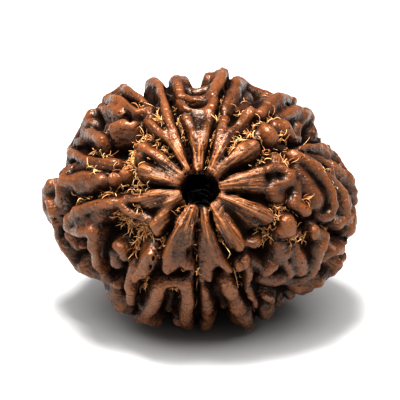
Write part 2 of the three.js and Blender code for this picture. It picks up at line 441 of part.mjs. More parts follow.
// The edge where the stone's outside meets the wall of its hole, at the pole on the side of this sign.
function rim(side) {
  const OUTSIDE = 1.3 * HALF_LENGTH;
  const INSIDE = 0.8 * HALF_LENGTH;
  const [reach, radius, lean] = side > 0 ? [0, HOLE_RADIUS, 0] : [2, FAR_HOLE_RADIUS, HOLE_LEAN];
  return columnAngles(reach).map((angle) => {
    const x = radius * Math.cos(radians(angle));
    const y = radius * Math.sin(radians(angle)) - lean;
    return surfacePoint(new THREE.Vector3(x, y, side * OUTSIDE), new THREE.Vector3(x, y, side * INSIDE));
  });
}

// Rings from the near mouth over the outside to the far mouth, and back to the first through the hole.
function stoneGeometry() {
  const reaches = Array.from({ length: RINGS }, (_, i) => lerp(FIRST_RING, 2 - FIRST_RING, i / (RINGS - 1)));
  const rings = [rim(1), ...reaches.map(ring), rim(-1)];
  const around = rings[0].length;
  const points = rings.flat();
  const corners = [];
  rings.forEach((_, r) => {
    const below = ((r + 1) % rings.length) * around;
    for (let c = 0; c < around; c += 1) {
      const next = (c + 1) % around;
      const [a, b, d, e] = [r * around + c, r * around + next, below + c, below + next];
      const falling = points[a].distanceTo(points[e]) < points[b].distanceTo(points[d]);
      corners.push(...(falling ? [a, d, e, a, e, b] : [a, d, b, b, d, e]));
    }
  });
  const geometry = new THREE.BufferGeometry().setFromPoints(points);
  geometry.setIndex(corners);
  return geometry;
}

// What lies below the spot that the stone rests on.
function surfaceGeometry() {
  const WIDE = 4 * HALF_WIDTH;
  return new THREE.BoxGeometry(WIDE, WIDE, WIDE).translate(0, 0, -WIDE / 2);
}

const wasm = await Module();
wasm.setup();

function solidOf(geometry) {
  geometry.deleteAttribute("normal");
  geometry.deleteAttribute("uv");
  const merged = mergeVertices(geometry, 1e-5);
  return new wasm.Manifold(new wasm.Mesh({
    numProp: 3,
    vertProperties: merged.getAttribute("position").array,
    triVerts: new Uint32Array(merged.index.array),
  }));
}

function geometryOf(solid) {
  const mesh = solid.getMesh();
  const geometry = new THREE.BufferGeometry();
  geometry.setAttribute("position", new THREE.BufferAttribute(mesh.vertProperties, 3));
  geometry.setIndex(new THREE.BufferAttribute(mesh.triVerts, 1));
  geometry.computeVertexNormals();
  return geometry;
}

// Turns the stone from its own frame to the way it lies.
const lie = new THREE.Matrix4()
  .makeTranslation(...CENTRE)
  .multiply(new THREE.Matrix4().makeRotationX(radians(90 - HOLE_RISE)));

const stone = solidOf(stoneGeometry().applyMatrix4(lie)).subtract(solidOf(surfaceGeometry()));

const bead = new THREE.Mesh(
  geometryOf(stone),
  new THREE.MeshStandardMaterial({ color: 0x6b4029, roughness: 0.55, metalness: 0 }),
);
bead.name = "bead";

const rudraksha = new THREE.Group();
rudraksha.add(bead);

export default rudraksha;
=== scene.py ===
# The looks of a nine mukhi rudraksha: its finely knobbled stone, the dried fibres between its ribs, and
# the light of a plain studio. The stone follows the formula of the solid that it stands for, on a finer
# mesh. It is worked out in millimetres in the stone's own frame, and then placed in metres.
import math
from types import SimpleNamespace

import bpy
import numpy as np
import openvdb
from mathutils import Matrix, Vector

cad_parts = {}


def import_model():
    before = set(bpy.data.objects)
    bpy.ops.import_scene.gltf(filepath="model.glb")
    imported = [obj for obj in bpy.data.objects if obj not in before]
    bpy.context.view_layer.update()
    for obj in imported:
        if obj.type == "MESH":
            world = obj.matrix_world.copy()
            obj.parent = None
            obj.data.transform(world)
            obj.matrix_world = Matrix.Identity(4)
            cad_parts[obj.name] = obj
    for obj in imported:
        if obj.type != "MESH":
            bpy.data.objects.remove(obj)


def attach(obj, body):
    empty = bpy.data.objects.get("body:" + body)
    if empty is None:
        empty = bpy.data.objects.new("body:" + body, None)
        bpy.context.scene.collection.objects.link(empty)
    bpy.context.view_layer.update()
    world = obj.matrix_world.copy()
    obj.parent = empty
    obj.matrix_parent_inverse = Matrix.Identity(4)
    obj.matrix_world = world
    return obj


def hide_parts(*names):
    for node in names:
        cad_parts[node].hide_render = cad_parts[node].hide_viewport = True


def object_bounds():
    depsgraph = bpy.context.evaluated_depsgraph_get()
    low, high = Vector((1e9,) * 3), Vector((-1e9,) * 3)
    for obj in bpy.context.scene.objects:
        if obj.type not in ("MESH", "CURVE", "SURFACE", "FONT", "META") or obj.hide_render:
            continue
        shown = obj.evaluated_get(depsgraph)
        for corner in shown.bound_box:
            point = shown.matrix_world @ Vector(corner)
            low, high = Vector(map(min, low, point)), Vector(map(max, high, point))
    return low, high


A_METRE = 1000  # millimetres

# Driving dimensions, as in the solid
ELLIPSOID = np.array([11.3, 8.8, 9.9])  # across, at a right angle to that and to the hole, along the hole
HOLE_RADIUS = 1.45  # at the near mouth
FAR_HOLE_RADIUS = 1.15
HOLE_LEAN = 1.1  # how far below the far pole the hole comes out
HOLE_RISE = math.radians(30)  # from the surface up to the hole's axis
CENTRE = np.array([0, 0.04, 10.4])  # the stone's centre above the spot that it lies on
CLEFT_HALF_WIDTH = 0.07
RIB_FULLNESS = 1.3  # how much broader a rib is than the rounded top that its table gives
CUT_BLEND = 0.25  # rounding along the lip of a cleft or a hollow

# What is deeper or sharper in this mesh than in the solid
FLOOR_SINK = 0.32  # how far the floor between the ribs lies below the ellipsoid
CLEFT_DEPTH = 0.9  # below the ellipsoid
RIB_FLARE = 0.32  # how much a rib widens for each millimetre down its side
BLEND = 0.14  # fillet where ribs meet each other and the floor

# What only this mesh has
SPACING = 0.235  # of the grid that the formula is sampled on
HALF_GRID = np.array([13.9, 12.2, 12.9])  # how far it reaches each way
WOBBLE = 0.2  # how far the ribs stray from the formula's even lines
WOBBLE_SIZE = 1.5
FLOOR_WAVES = 0.12  # how far the floor between the ribs rises and falls
FLOOR_WAVE_SIZE = 1.0
LUMPS = 0.06  # the height of the fine lumps all over the stone
LUMP_SIZE = 0.8
SMALL_LUMPS = 0.6  # the height of the lumps of half that size, as a share of theirs
HOLE_RAGGEDNESS = 0.14
COLLAR_RISE = 0.45  # how far the floor between the ribs stands out at the mouths of the hole
COLLAR_REACH = 0.15  # how far from each pole it stands out in full
COLLAR_FALL = 0.2  # over how much more reach it falls away
RIB_MARGIN = 2.6  # how far from its points a rib can still matter
SEED = 9

# What the mesh keeps for the stone's material
CAVITY_SIZE = 0.75  # the reach of the blur that tells a crevice from a crest
EDGE_SOFTNESS = 0.06  # over which the stone's inside fades to its outside, before that blur
LARGEST_POWER = 30  # past this the fade is complete
GRAIN_AROUND = 14  # how finely the streaks from pole to pole divide the girth
GRAIN_ALONG = 3.5  # how much they change on their way

# The photograph's view
PHOTO_WIDTH = 400  # pixels
PIXELS_A_MILLIMETRE = 12.0  # at the stone's centre
VIEW_WIDTH = PHOTO_WIDTH / PIXELS_A_MILLIMETRE
VIEW_RISE = math.radians(25)
VIEW_DISTANCE = 320  # from the camera to the stone's centre
SENSOR_WIDTH = 36

# The light and the floor, in metres and watts. A softbox has a name, a place, two sides and a power.
SOFTBOXES = [
    ["overhead softbox", (0.0, -0.07, 0.34), (0.7, 0.34), 2.6],
    ["key softbox", (-0.03, -0.03, 0.36), (0.1, 0.09), 1.8],
]
LIT_SPOT = (0, 0, 0.01)
SURROUNDINGS = 0.3  # the strength of the white light from all round
EXPOSURE = 0.42
GAMMA = 0.78
FLOOR_HALF_WIDTH = 1.5
FLOOR_GREY = 0.51

# Colours as they show on a screen, from 0 to 255
DARK_BODY = (66, 38, 21)
LIGHT_BODY = (92, 53, 29)
DULLED = (190, 188, 190)
AMBER = (111, 63, 28)
WORN = (134, 85, 51)
PALE_STREAK = (182, 126, 80)
DARK_STREAK = (34, 15, 7)
GRIT = (38, 19, 11)
WRINKLE = (30, 14, 8)
PORE = (22, 10, 6)
# Painted shade: darker where shade falls in the crevices and the deep hollows
PAINTED_CREVICE_SHADE = (35, 17, 9)
PAINTED_HOLLOW_SHADE = (20, 9, 5)
# Painted shade: darker where shade falls in the creases at the feet of the ribs
PAINTED_CREASE_SHADE = (22, 10, 5)
FIBRE_BROWN = (160, 94, 46)
FIBRE_STRAW = (255, 206, 144)

# Where the stone's layers of colour start and where they are full. Cavity, crease and hollow say how much of
# what lies round a place is stone, over a middling, a small and a large size: little round a crest, much in a
# crevice.
AMBER_CAVITY = (0.47, 0.37)
WORN_CAVITY = (0.36, 0.26)
SIDE_CAVITY = (0.34, 0.48)
DULL_CAVITY = (0.44, 0.6)
# The painted shade in the crevices and the deep hollows starts and is full over these ranges
PAINTED_SHADE_CAVITY = (0.5, 0.64)
PAINTED_SHADE_HOLLOW = (0.52, 0.64)
# The painted shade in the creases at the feet of the ribs starts and is full over this range
PAINTED_SHADE_CREASE = (0.51, 0.6)
PALE_REACH = (0.36, 0.18)
DARK_REACH = (0.6, 0.2)
RAGGED_EDGES = 0.3  # how much the grit shifts where the painted shade in the crevices and the wear start

# How far the stone swells or is flattened around its girth: [angle about the hole, share of its size].
SWELLS = [
    [0, 0.01], [12, -0.02], [22, -0.07], [31, -0.09], [37, -0.13], [43, -0.04], [50, -0.01], [57, 0.01],
    [64, -0.06], [70, -0.09], [76, -0.03], [84, -0.01], [94, -0.02], [102, -0.05], [107, -0.02], [113, -0.07],
    [119, 0.04], [125, 0.02], [136, -0.03], [145, -0.07], [155, -0.08], [162, -0.11], [172, -0.01], [180, 0],
    [193, -0.05], [206, -0.05], [213, -0.05], [222, -0.11], [232, -0.04], [241, 0.02], [250, 0.03], [262, 0],
    [302, -0.02], [310, 0.02], [324, 0.02], [335, 0.05], [341, 0.01], [350, 0.02], [360, 0.01],
]

# Each cleft's angle about the hole, at the pole and half way round. It turns evenly in between.
CLEFTS = [
    [346.5, 340],
    [391, 392],
    [440, 439.3],
    [467.5, 462.5],
    [487, 488.5],
    [541, 550],
    [599, 606],
    [626.5, 628.5],
    [645.5, 651],
]

# The ribs of the near half, one list for each segment from a cleft to the next, turning from right to top.
# A rib's points are [angle about the hole, reach, half-width, crest above the ellipsoid].
# Reach is 0 at the near pole, 1 half way round and 2 at the far pole.
RIGHT = [
    [[370, 0.09, 0.3, 1.1], [375, 0.17, 0.4, 1.6], [379, 0.26, 0.35, 2.0]],
    [[366, 0.13, 0.4, 1.0], [366, 0.2, 0.7, 1.3], [367, 0.245, 0.75, 1.5]],
    [[379, 0.305, 0.3, 1.7], [380.5, 0.34, 0.3, 1.8], [378, 0.385, 0.28, 1.8], [373, 0.42, 0.28, 1.8]],
    [[373, 0.42, 0.28, 1.8], [369, 0.41, 0.35, 1.7], [365, 0.37, 0.4, 1.7], [364, 0.32, 0.4, 1.6]],
    [[370, 0.33, 0.6, 1.2]],
    [[358, 0.31, 0.55, 1.4], [355, 0.35, 0.6, 1.4], [352, 0.33, 0.45, 1.2]],
    [[387, 0.385, 0.45, 1.6]],
    [[388, 0.49, 0.3, 1.6], [383, 0.5, 0.42, 1.9], [378, 0.54, 0.5, 2.0], [373, 0.575, 0.5, 1.9]],
    [[373, 0.575, 0.5, 1.9], [368, 0.61, 0.35, 1.9], [361, 0.645, 0.32, 1.9], [354, 0.665, 0.35, 1.8]],
    [[354, 0.665, 0.35, 1.8], [349, 0.665, 0.4, 1.6], [346, 0.6, 0.35, 1.5]],
    [[372, 0.47, 0.7, 1.5], [364, 0.5, 0.9, 1.6], [357, 0.57, 1.0, 1.6]],
    [[365, 0.435, 0.35, 1.6], [358, 0.435, 0.35, 1.6], [351, 0.42, 0.4, 1.5], [348, 0.5, 0.45, 1.5]],
    [[388, 0.57, 0.28, 1.5], [387.5, 0.65, 0.3, 1.6], [386, 0.74, 0.32, 1.7], [382, 0.82, 0.35, 1.6]],
    [[382, 0.58, 0.25, 1.6], [379, 0.65, 0.25, 1.5], [374, 0.71, 0.28, 1.5], [369, 0.72, 0.25, 1.4]],
    [[387, 0.88, 0.4, 1.5], [381, 1.0, 0.35, 1.9], [376, 1.02, 0.35, 1.9], [370, 1.0, 0.4, 1.8]],
    [[376, 0.82, 0.5, 1.4], [372, 0.9, 0.55, 1.5]],
    [[369, 0.66, 0.28, 1.6], [366, 0.72, 0.28, 1.6], [361, 0.765, 0.3, 1.7], [355, 0.79, 0.28, 1.7]],
    [[355, 0.79, 0.28, 1.7], [350, 0.82, 0.28, 1.6], [346, 0.78, 0.3, 1.4]],
    [[370, 0.95, 0.5, 1.9], [367, 1.03, 0.6, 2.0], [361, 1.06, 0.55, 2.0]],
    [[354, 0.94, 0.4, 1.7], [351, 1.03, 0.45, 1.9], [346, 1.04, 0.45, 1.9], [343.5, 0.94, 0.4, 1.6]],
    [[356, 0.9, 0.35, 1.4], [360, 0.88, 0.3, 1.3]],
]
UPPER_RIGHT = [
    [[412, 0.1, 0.32, 1.2], [409.5, 0.18, 0.42, 1.6], [407.5, 0.27, 0.5, 1.9], [406, 0.33, 0.48, 1.9]],
    [[404.5, 0.28, 0.55, 1.4], [403.5, 0.33, 0.5, 1.3]],
    [[430, 0.1, 0.3, 1.2], [428, 0.2, 0.35, 1.6], [426.5, 0.3, 0.32, 1.8], [424, 0.4, 0.32, 1.9]],
    [[424, 0.4, 0.32, 1.9], [421.5, 0.5, 0.42, 1.9]],
    [[424.5, 0.3, 0.4, 1.2], [421, 0.42, 0.5, 1.3]],
    [[432, 0.18, 0.3, 1.4], [434, 0.29, 0.4, 1.7], [435.5, 0.36, 0.42, 1.7], [435, 0.42, 0.42, 1.6]],
    [[430.5, 0.4, 0.5, 1.2]],
    [[436, 0.49, 0.42, 1.6], [434.5, 0.56, 0.45, 1.7], [434.5, 0.66, 0.45, 1.8], [435, 0.8, 0.45, 2.0]],
    [[435, 0.8, 0.45, 2.0], [434, 0.93, 0.5, 2.2], [433.5, 1.05, 0.5, 2.1]],
    [[429, 0.95, 0.4, 1.6], [428.5, 0.82, 0.35, 1.6], [428, 0.7, 0.3, 1.5]],
    [[431, 0.56, 0.7, 1.4], [427.5, 0.62, 0.65, 1.4]],
    [[422, 0.9, 0.45, 1.6]],
    [[424, 0.7, 0.4, 1.0], [421, 0.78, 0.4, 1.1]],
    [[417, 0.54, 0.42, 1.7], [417.5, 0.62, 0.5, 1.9], [416, 0.75, 0.5, 1.9], [415, 0.88, 0.5, 1.9]],
    [[414.5, 0.6, 0.45, 1.4], [412.5, 0.72, 0.5, 1.5]],
    [[413, 0.95, 0.35, 1.9], [412, 1.02, 0.35, 2.0]],
    [[409, 0.47, 0.45, 1.7], [406.5, 0.45, 0.6, 1.9], [403.5, 0.44, 0.6, 1.7]],
    [[410, 0.4, 0.3, 1.2], [411, 0.47, 0.3, 1.3]],
    [[406.5, 0.53, 0.4, 1.8], [403.5, 0.56, 0.5, 1.9], [400, 0.58, 0.5, 1.8], [397.5, 0.6, 0.4, 1.6]],
    [[408.5, 0.6, 0.32, 1.5], [408, 0.72, 0.38, 1.7], [407.5, 0.86, 0.4, 1.8]],
    [[404, 0.88, 0.4, 1.9], [404, 1.0, 0.45, 2.2], [402, 1.03, 0.45, 2.2], [399.5, 0.96, 0.4, 1.7]],
    [[396, 0.62, 0.38, 1.4], [395.5, 0.7, 0.35, 1.2]],
    [[399, 0.72, 0.5, 1.2], [402, 0.75, 0.4, 1.1]],
    [[396, 0.42, 0.35, 0.9], [394, 0.5, 0.35, 1.0]],
]
TOP = [
    [[451, 0.09, 0.25, 1.1], [451, 0.2, 0.4, 1.6], [455, 0.29, 0.32, 1.7], [459, 0.4, 0.28, 1.7]],
    [[450, 0.2, 0.35, 1.6], [447, 0.29, 0.3, 1.7], [445, 0.35, 0.28, 1.6], [444, 0.43, 0.28, 1.5]],
    [[451, 0.29, 0.5, 1.2], [451, 0.36, 0.7, 1.3], [451, 0.4, 0.6, 1.3]],
    [[460.5, 0.53, 0.3, 1.6], [459, 0.47, 0.3, 1.7], [456, 0.455, 0.25, 1.5], [451, 0.45, 0.25, 1.4]],
    [[451, 0.45, 0.25, 1.4], [447, 0.465, 0.25, 1.5], [444, 0.5, 0.3, 1.6]],
    [[457, 0.6, 0.25, 1.4], [453, 0.56, 0.28, 1.4], [448, 0.56, 0.28, 1.4], [445, 0.6, 0.25, 1.4]],
    [[458, 0.74, 0.25, 1.3], [451, 0.71, 0.28, 1.2], [445, 0.73, 0.25, 1.3]],
    [[444.5, 0.45, 0.3, 1.6], [443, 0.56, 0.38, 1.8], [441.7, 0.68, 0.42, 2.0], [441.5, 0.8, 0.45, 2.2]],
    [[441.5, 0.8, 0.45, 2.2], [441.8, 0.95, 0.5, 2.5], [442, 1.08, 0.5, 2.3]],
    [[446, 0.85, 0.45, 1.9], [446, 1.0, 0.5, 2.0]],
    [[459.5, 0.6, 0.35, 1.6], [459.5, 0.7, 0.4, 1.9], [460, 0.85, 0.45, 2.1], [460, 1.0, 0.5, 2.1]],
    [[456, 0.78, 0.3, 1.5], [457, 0.9, 0.35, 1.8], [457.5, 1.0, 0.4, 1.9]],
]
UPPER_LEFT = [
    [[476, 0.1, 0.3, 1.3], [474, 0.2, 0.38, 1.7], [472, 0.28, 0.32, 1.8], [469.5, 0.38, 0.28, 1.9]],
    [[469.5, 0.38, 0.28, 1.9], [468.5, 0.5, 0.3, 1.9], [466.7, 0.64, 0.32, 2.0], [466, 0.78, 0.35, 2.0]],
    [[467, 0.8, 0.45, 2.0], [468.5, 0.92, 0.5, 2.2], [469, 1.04, 0.5, 2.2]],
    [[471, 0.85, 0.45, 1.6], [471.5, 0.75, 0.4, 1.3]],
    [[479.5, 0.98, 0.32, 1.8], [478.5, 0.8, 0.3, 1.6], [477, 0.66, 0.28, 1.4], [475.5, 0.56, 0.28, 1.4]],
    [[475, 0.23, 0.3, 1.5], [477, 0.33, 0.28, 1.6], [479.5, 0.4, 0.28, 1.5], [481, 0.44, 0.26, 1.3]],
    [[483, 0.54, 0.26, 1.5], [477.5, 0.53, 0.25, 1.5], [473.5, 0.56, 0.25, 1.5], [469.5, 0.58, 0.25, 1.6]],
    [[478.5, 0.49, 0.3, 1.1], [482, 0.47, 0.3, 1.1]],
    [[487, 0.92, 0.35, 1.9], [485.5, 0.76, 0.32, 1.8], [484.5, 0.65, 0.3, 1.6], [483, 0.55, 0.28, 1.5]],
    [[480, 1.0, 0.45, 1.9], [484, 1.05, 0.55, 2.0], [487.5, 1.0, 0.5, 1.9]],
    [[483, 0.85, 0.5, 1.5]],
]
LEFT = [
    [[499, 0.1, 0.25, 1.1], [499.5, 0.2, 0.32, 1.5], [498.5, 0.28, 0.35, 1.6], [497.5, 0.35, 0.32, 1.6]],
    [[492, 0.14, 0.22, 0.9], [491, 0.25, 0.22, 1.0], [490.5, 0.36, 0.25, 1.0]],
    [[506.5, 0.33, 0.42, 1.4]],
    [[498, 0.55, 0.4, 1.8], [493.5, 0.52, 0.42, 1.9], [489.8, 0.48, 0.36, 1.7]],
    [[491, 0.98, 0.3, 1.8], [490.8, 0.8, 0.33, 1.8], [490, 0.68, 0.35, 1.8], [489.5, 0.61, 0.3, 1.5]],
    [[494.5, 1.02, 0.3, 2.0]],
    [[500, 0.88, 0.5, 1.8], [500.5, 0.98, 0.5, 1.9]],
    [[496.5, 0.7, 0.4, 1.2], [499, 0.66, 0.4, 1.1]],
    [[504, 0.97, 0.35, 1.8], [506, 0.88, 0.38, 1.7], [505.5, 0.76, 0.4, 1.6]],
    [[505.5, 0.76, 0.4, 1.6], [506, 0.67, 0.48, 1.7], [507.5, 0.6, 0.4, 1.5]],
    [[511, 0.95, 0.35, 1.7], [509.5, 0.85, 0.3, 1.4]],
    [[514.5, 1.02, 0.38, 1.9], [517, 0.86, 0.32, 1.8], [519, 0.72, 0.3, 1.7], [519.7, 0.6, 0.3, 1.6]],
    [[519.7, 0.6, 0.3, 1.6], [519, 0.5, 0.28, 1.5], [517, 0.44, 0.25, 1.3]],
    [[525, 0.1, 0.3, 1.1], [522, 0.16, 0.42, 1.6], [519, 0.22, 0.45, 1.8], [518, 0.265, 0.45, 1.7]],
    [[517, 0.2, 0.4, 1.5], [514, 0.26, 0.35, 1.4]],
    [[526, 0.355, 0.38, 1.4]],
    [[531, 0.4, 0.42, 1.5]],
    [[533, 0.47, 0.4, 1.6], [532, 0.55, 0.45, 1.7], [532, 0.65, 0.45, 1.7], [532.5, 0.73, 0.4, 1.7]],
    [[536, 0.5, 0.4, 1.2], [536, 0.62, 0.45, 1.3]],
    [[532.5, 0.73, 0.4, 1.7], [529, 0.74, 0.3, 1.6], [525, 0.72, 0.28, 1.5]],
    [[525, 0.72, 0.28, 1.5], [524, 0.62, 0.28, 1.5], [524, 0.52, 0.28, 1.5], [522.5, 0.45, 0.25, 1.3]],
    [[528, 0.86, 0.3, 1.5], [525.5, 0.8, 0.28, 1.5], [524, 0.86, 0.3, 1.5]],
    [[522, 1.0, 0.35, 1.8], [523, 0.88, 0.35, 1.5]],
    [[533, 0.82, 0.28, 1.5], [537, 0.77, 0.35, 1.5], [541, 0.78, 0.32, 1.4], [543, 0.84, 0.28, 1.3]],
    [[533.5, 0.97, 0.35, 1.8], [537, 1.06, 0.45, 2.1], [543, 1.08, 0.5, 2.1], [548, 1.03, 0.45, 1.9]],
    [[548, 1.03, 0.45, 1.9], [547, 0.92, 0.35, 1.5]],
]
LOWER_LEFT = [
    [[551, 0.09, 0.28, 1.2], [549, 0.18, 0.32, 1.6], [550.5, 0.27, 0.3, 1.6], [549, 0.34, 0.28, 1.4]],
    [[558, 0.1, 0.28, 1.2], [559, 0.2, 0.28, 1.3], [559, 0.27, 0.25, 1.2]],
    [[552.5, 0.36, 0.26, 1.5], [558, 0.35, 0.26, 1.4], [566, 0.33, 0.26, 1.4], [573, 0.29, 0.26, 1.4]],
    [[566, 0.1, 0.32, 1.3], [572, 0.15, 0.4, 1.7], [579, 0.21, 0.45, 1.8], [585, 0.27, 0.45, 1.7]],
    [[586, 0.22, 0.35, 1.4], [590, 0.29, 0.38, 1.4]],
    [[549.5, 0.4, 0.36, 1.7], [549, 0.5, 0.34, 1.8], [550.5, 0.62, 0.38, 1.9], [553, 0.72, 0.5, 2.0]],
    [[553, 0.72, 0.5, 2.0], [556, 0.76, 0.52, 2.0], [559, 0.72, 0.4, 1.9]],
    [[555, 0.5, 0.5, 1.4], [556, 0.58, 0.7, 1.6], [557, 0.65, 0.6, 1.7]],
    [[559, 0.72, 0.4, 1.9], [561, 0.64, 0.4, 1.9], [563, 0.57, 0.4, 1.9]],
    [[563, 0.57, 0.4, 1.9], [568, 0.6, 0.4, 1.8], [572, 0.65, 0.38, 1.8], [577, 0.73, 0.35, 1.7]],
    [[577, 0.73, 0.35, 1.7], [582, 0.82, 0.35, 1.6], [587, 0.9, 0.35, 1.5], [591, 1.0, 0.35, 1.5]],
    [[568, 0.83, 0.3, 0.9]],
    [[551, 0.97, 0.35, 1.8], [556, 1.04, 0.4, 2.0], [563, 1.03, 0.38, 2.0], [571, 1.0, 0.35, 1.8]],
    [[560, 0.93, 0.5, 1.2], [566, 0.92, 0.4, 1.0]],
    [[571, 1.0, 0.35, 1.8], [577, 0.98, 0.35, 1.6], [583, 1.0, 0.4, 1.6]],
    [[578, 0.53, 0.35, 1.5], [583, 0.53, 0.38, 1.6], [586, 0.56, 0.35, 1.4]],
    [[580, 0.6, 0.55, 1.3], [585, 0.66, 0.6, 1.3]],
    [[593, 0.55, 0.26, 1.4], [595, 0.62, 0.26, 1.4], [598, 0.72, 0.3, 1.5]],
    [[595.5, 0.42, 0.26, 1.9], [596.5, 0.5, 0.25, 1.7], [598.5, 0.6, 0.25, 1.5]],
    [[599, 0.41, 0.48, 1.9], [600, 0.49, 0.42, 1.7], [601, 0.56, 0.32, 1.4]],
    [[600, 0.72, 0.4, 1.5], [602, 0.8, 0.42, 1.6], [604, 0.86, 0.35, 1.5]],
    [[594, 0.92, 0.5, 1.6], [597, 1.03, 0.55, 1.9], [601, 1.06, 0.5, 1.9], [603, 0.97, 0.4, 1.7]],
    [[590, 0.88, 0.35, 1.2], [593, 0.83, 0.3, 1.2]],
]
BOTTOM_LEFT = [
    [[606, 0.09, 0.3, 1.2], [606.5, 0.2, 0.4, 1.7], [608, 0.3, 0.32, 1.8], [608.5, 0.38, 0.32, 1.7]],
    [[608.5, 0.38, 0.32, 1.7], [610.5, 0.46, 0.35, 1.6]],
    [[613, 0.2, 0.35, 1.3], [615, 0.3, 0.5, 1.4], [615, 0.38, 0.6, 1.4], [613, 0.44, 0.4, 1.3]],
    [[618, 0.1, 0.25, 1.1], [620, 0.2, 0.3, 1.4], [621, 0.3, 0.35, 1.4]],
    [[624.2, 0.12, 0.16, 1.1], [625, 0.3, 0.16, 1.1], [625.8, 0.6, 0.16, 1.1]],
    [[620, 0.4, 0.35, 1.2], [622, 0.43, 0.28, 1.3]],
    [[611.5, 0.6, 0.28, 1.4], [614, 0.565, 0.28, 1.5], [618, 0.55, 0.28, 1.4], [622, 0.57, 0.3, 1.5]],
    [[611.5, 0.6, 0.42, 1.7], [610.5, 0.7, 0.45, 1.8], [609.5, 0.85, 0.48, 1.8], [609, 0.98, 0.42, 1.7]],
    [[623.5, 0.56, 0.4, 1.6], [624.3, 0.68, 0.45, 1.8], [624.8, 0.85, 0.48, 2.0], [625, 1.02, 0.45, 2.0]],
    [[617, 0.66, 0.2, 0.9], [617.5, 0.9, 0.25, 1.0]],
]
BOTTOM_RIGHT = [
    [[637, 0.09, 0.22, 1.2], [638.5, 0.17, 0.32, 1.6], [640, 0.25, 0.3, 1.6], [642, 0.33, 0.28, 1.5]],
    [[642, 0.33, 0.28, 1.5], [644.5, 0.41, 0.28, 1.5], [647, 0.465, 0.32, 1.5]],
    [[634, 0.24, 0.4, 1.3], [636, 0.34, 0.6, 1.3], [637, 0.42, 0.5, 1.2]],
    [[635, 0.42, 0.35, 1.3], [634.8, 0.52, 0.22, 1.3]],
    [[630.3, 0.15, 0.16, 1.1], [630.3, 0.35, 0.16, 1.1], [631, 0.55, 0.18, 1.1]],
    [[632.3, 0.6, 0.32, 1.4], [632.6, 0.75, 0.34, 1.5], [632.8, 0.92, 0.32, 1.5], [633, 1.0, 0.26, 1.4]],
    [[643, 0.55, 0.36, 1.7], [644, 0.62, 0.45, 1.8], [645.5, 0.75, 0.45, 1.8], [646.5, 0.9, 0.45, 1.9]],
    [[646.5, 0.9, 0.45, 1.9], [647.5, 1.04, 0.42, 2.0]],
    [[639, 0.6, 0.22, 0.8], [640, 0.85, 0.25, 0.9]],
]
LOWER_RIGHT = [
    [[655, 0.1, 0.28, 1.2], [655, 0.2, 0.3, 1.5], [654, 0.29, 0.28, 1.4]],
    [[664, 0.1, 0.28, 1.2], [662.5, 0.2, 0.34, 1.6], [661, 0.28, 0.34, 1.7], [660.5, 0.345, 0.4, 1.8]],
    [[657, 0.22, 0.4, 1.2], [656, 0.32, 0.5, 1.3]],
    [[698, 0.09, 0.3, 1.2], [697, 0.17, 0.35, 1.6], [694.5, 0.25, 0.35, 1.8], [693, 0.33, 0.32, 1.7]],
    [[688, 0.12, 0.4, 1.1], [687, 0.2, 0.6, 1.2], [686, 0.29, 0.7, 1.1]],
    [[675, 0.12, 0.25, 0.9], [675, 0.22, 0.28, 0.9], [673, 0.3, 0.3, 0.8]],
    [[697, 0.42, 0.5, 1.8], [693, 0.445, 0.6, 1.9], [689.5, 0.44, 0.52, 1.7]],
    [[667, 0.36, 0.3, 1.1], [671, 0.385, 0.42, 1.4]],
    [[665, 0.345, 0.25, 0.9], [663, 0.4, 0.25, 0.8]],
    [[652.5, 0.46, 0.42, 1.7], [656.5, 0.455, 0.48, 1.8], [659, 0.44, 0.35, 1.5]],
    [[658.5, 0.46, 0.25, 1.6], [656.5, 0.53, 0.25, 1.5], [653.5, 0.6, 0.22, 1.4], [651.8, 0.68, 0.22, 1.4]],
    [[651.8, 0.72, 0.26, 1.5], [652, 0.88, 0.28, 1.5]],
    [[653.5, 0.98, 0.32, 1.7], [654, 1.08, 0.35, 1.9]],
    [[657.5, 0.78, 0.22, 1.4], [659.5, 0.88, 0.22, 1.6], [658.5, 1.0, 0.28, 1.8], [656, 1.05, 0.3, 1.8]],
    [[661, 0.47, 0.25, 1.1], [663.5, 0.52, 0.25, 1.1]],
    [[669, 0.555, 0.36, 1.5], [664.5, 0.575, 0.38, 1.5]],
    [[662, 0.67, 0.7, 1.0], [668, 0.72, 0.8, 1.1], [673, 0.85, 0.7, 1.2]],
    [[698, 0.585, 0.4, 1.8], [696, 0.6, 0.42, 1.7], [698, 0.67, 0.3, 1.8]],
    [[698, 0.67, 0.3, 1.8], [692.5, 0.66, 0.3, 1.9], [688, 0.69, 0.3, 1.9], [683, 0.74, 0.3, 1.9]],
    [[683, 0.74, 0.3, 1.9], [679, 0.79, 0.3, 1.7], [674, 0.8, 0.3, 1.5]],
    [[680.5, 0.49, 0.45, 1.5], [679.5, 0.54, 0.6, 1.6]],
    [[684, 0.57, 0.6, 1.4], [681, 0.63, 0.8, 1.5], [678, 0.71, 0.7, 1.5]],
    [[675, 0.53, 0.25, 1.4], [673.5, 0.62, 0.25, 1.4], [672, 0.7, 0.25, 1.3]],
    [[692.5, 0.53, 0.25, 1.1]],
    [[688, 0.8, 0.4, 1.4], [693, 0.8, 0.4, 1.5], [696, 0.87, 0.4, 1.6]],
    [[672, 0.98, 0.45, 1.4], [680, 1.0, 0.5, 1.7], [688, 1.02, 0.5, 1.8], [694, 1.02, 0.45, 1.9]],
]
SEGMENTS = [
    RIGHT, UPPER_RIGHT, TOP, UPPER_LEFT, LEFT, LOWER_LEFT, BOTTOM_LEFT, BOTTOM_RIGHT, LOWER_RIGHT,
]

# The far half grows the same kinds of rib: its segment n repeats this one of the near half, as in a mirror.
FAR_SEGMENT_REPEATS = [4, 5, 6, 7, 8, 0, 3, 2, 1]
# How far each of its ribs is from the near one's mirror image, at most
FAR_ANGLE_DISORDER = 1.0
FAR_REACH_DISORDER = 0.015
FAR_SIZE_DISORDER = 0.1

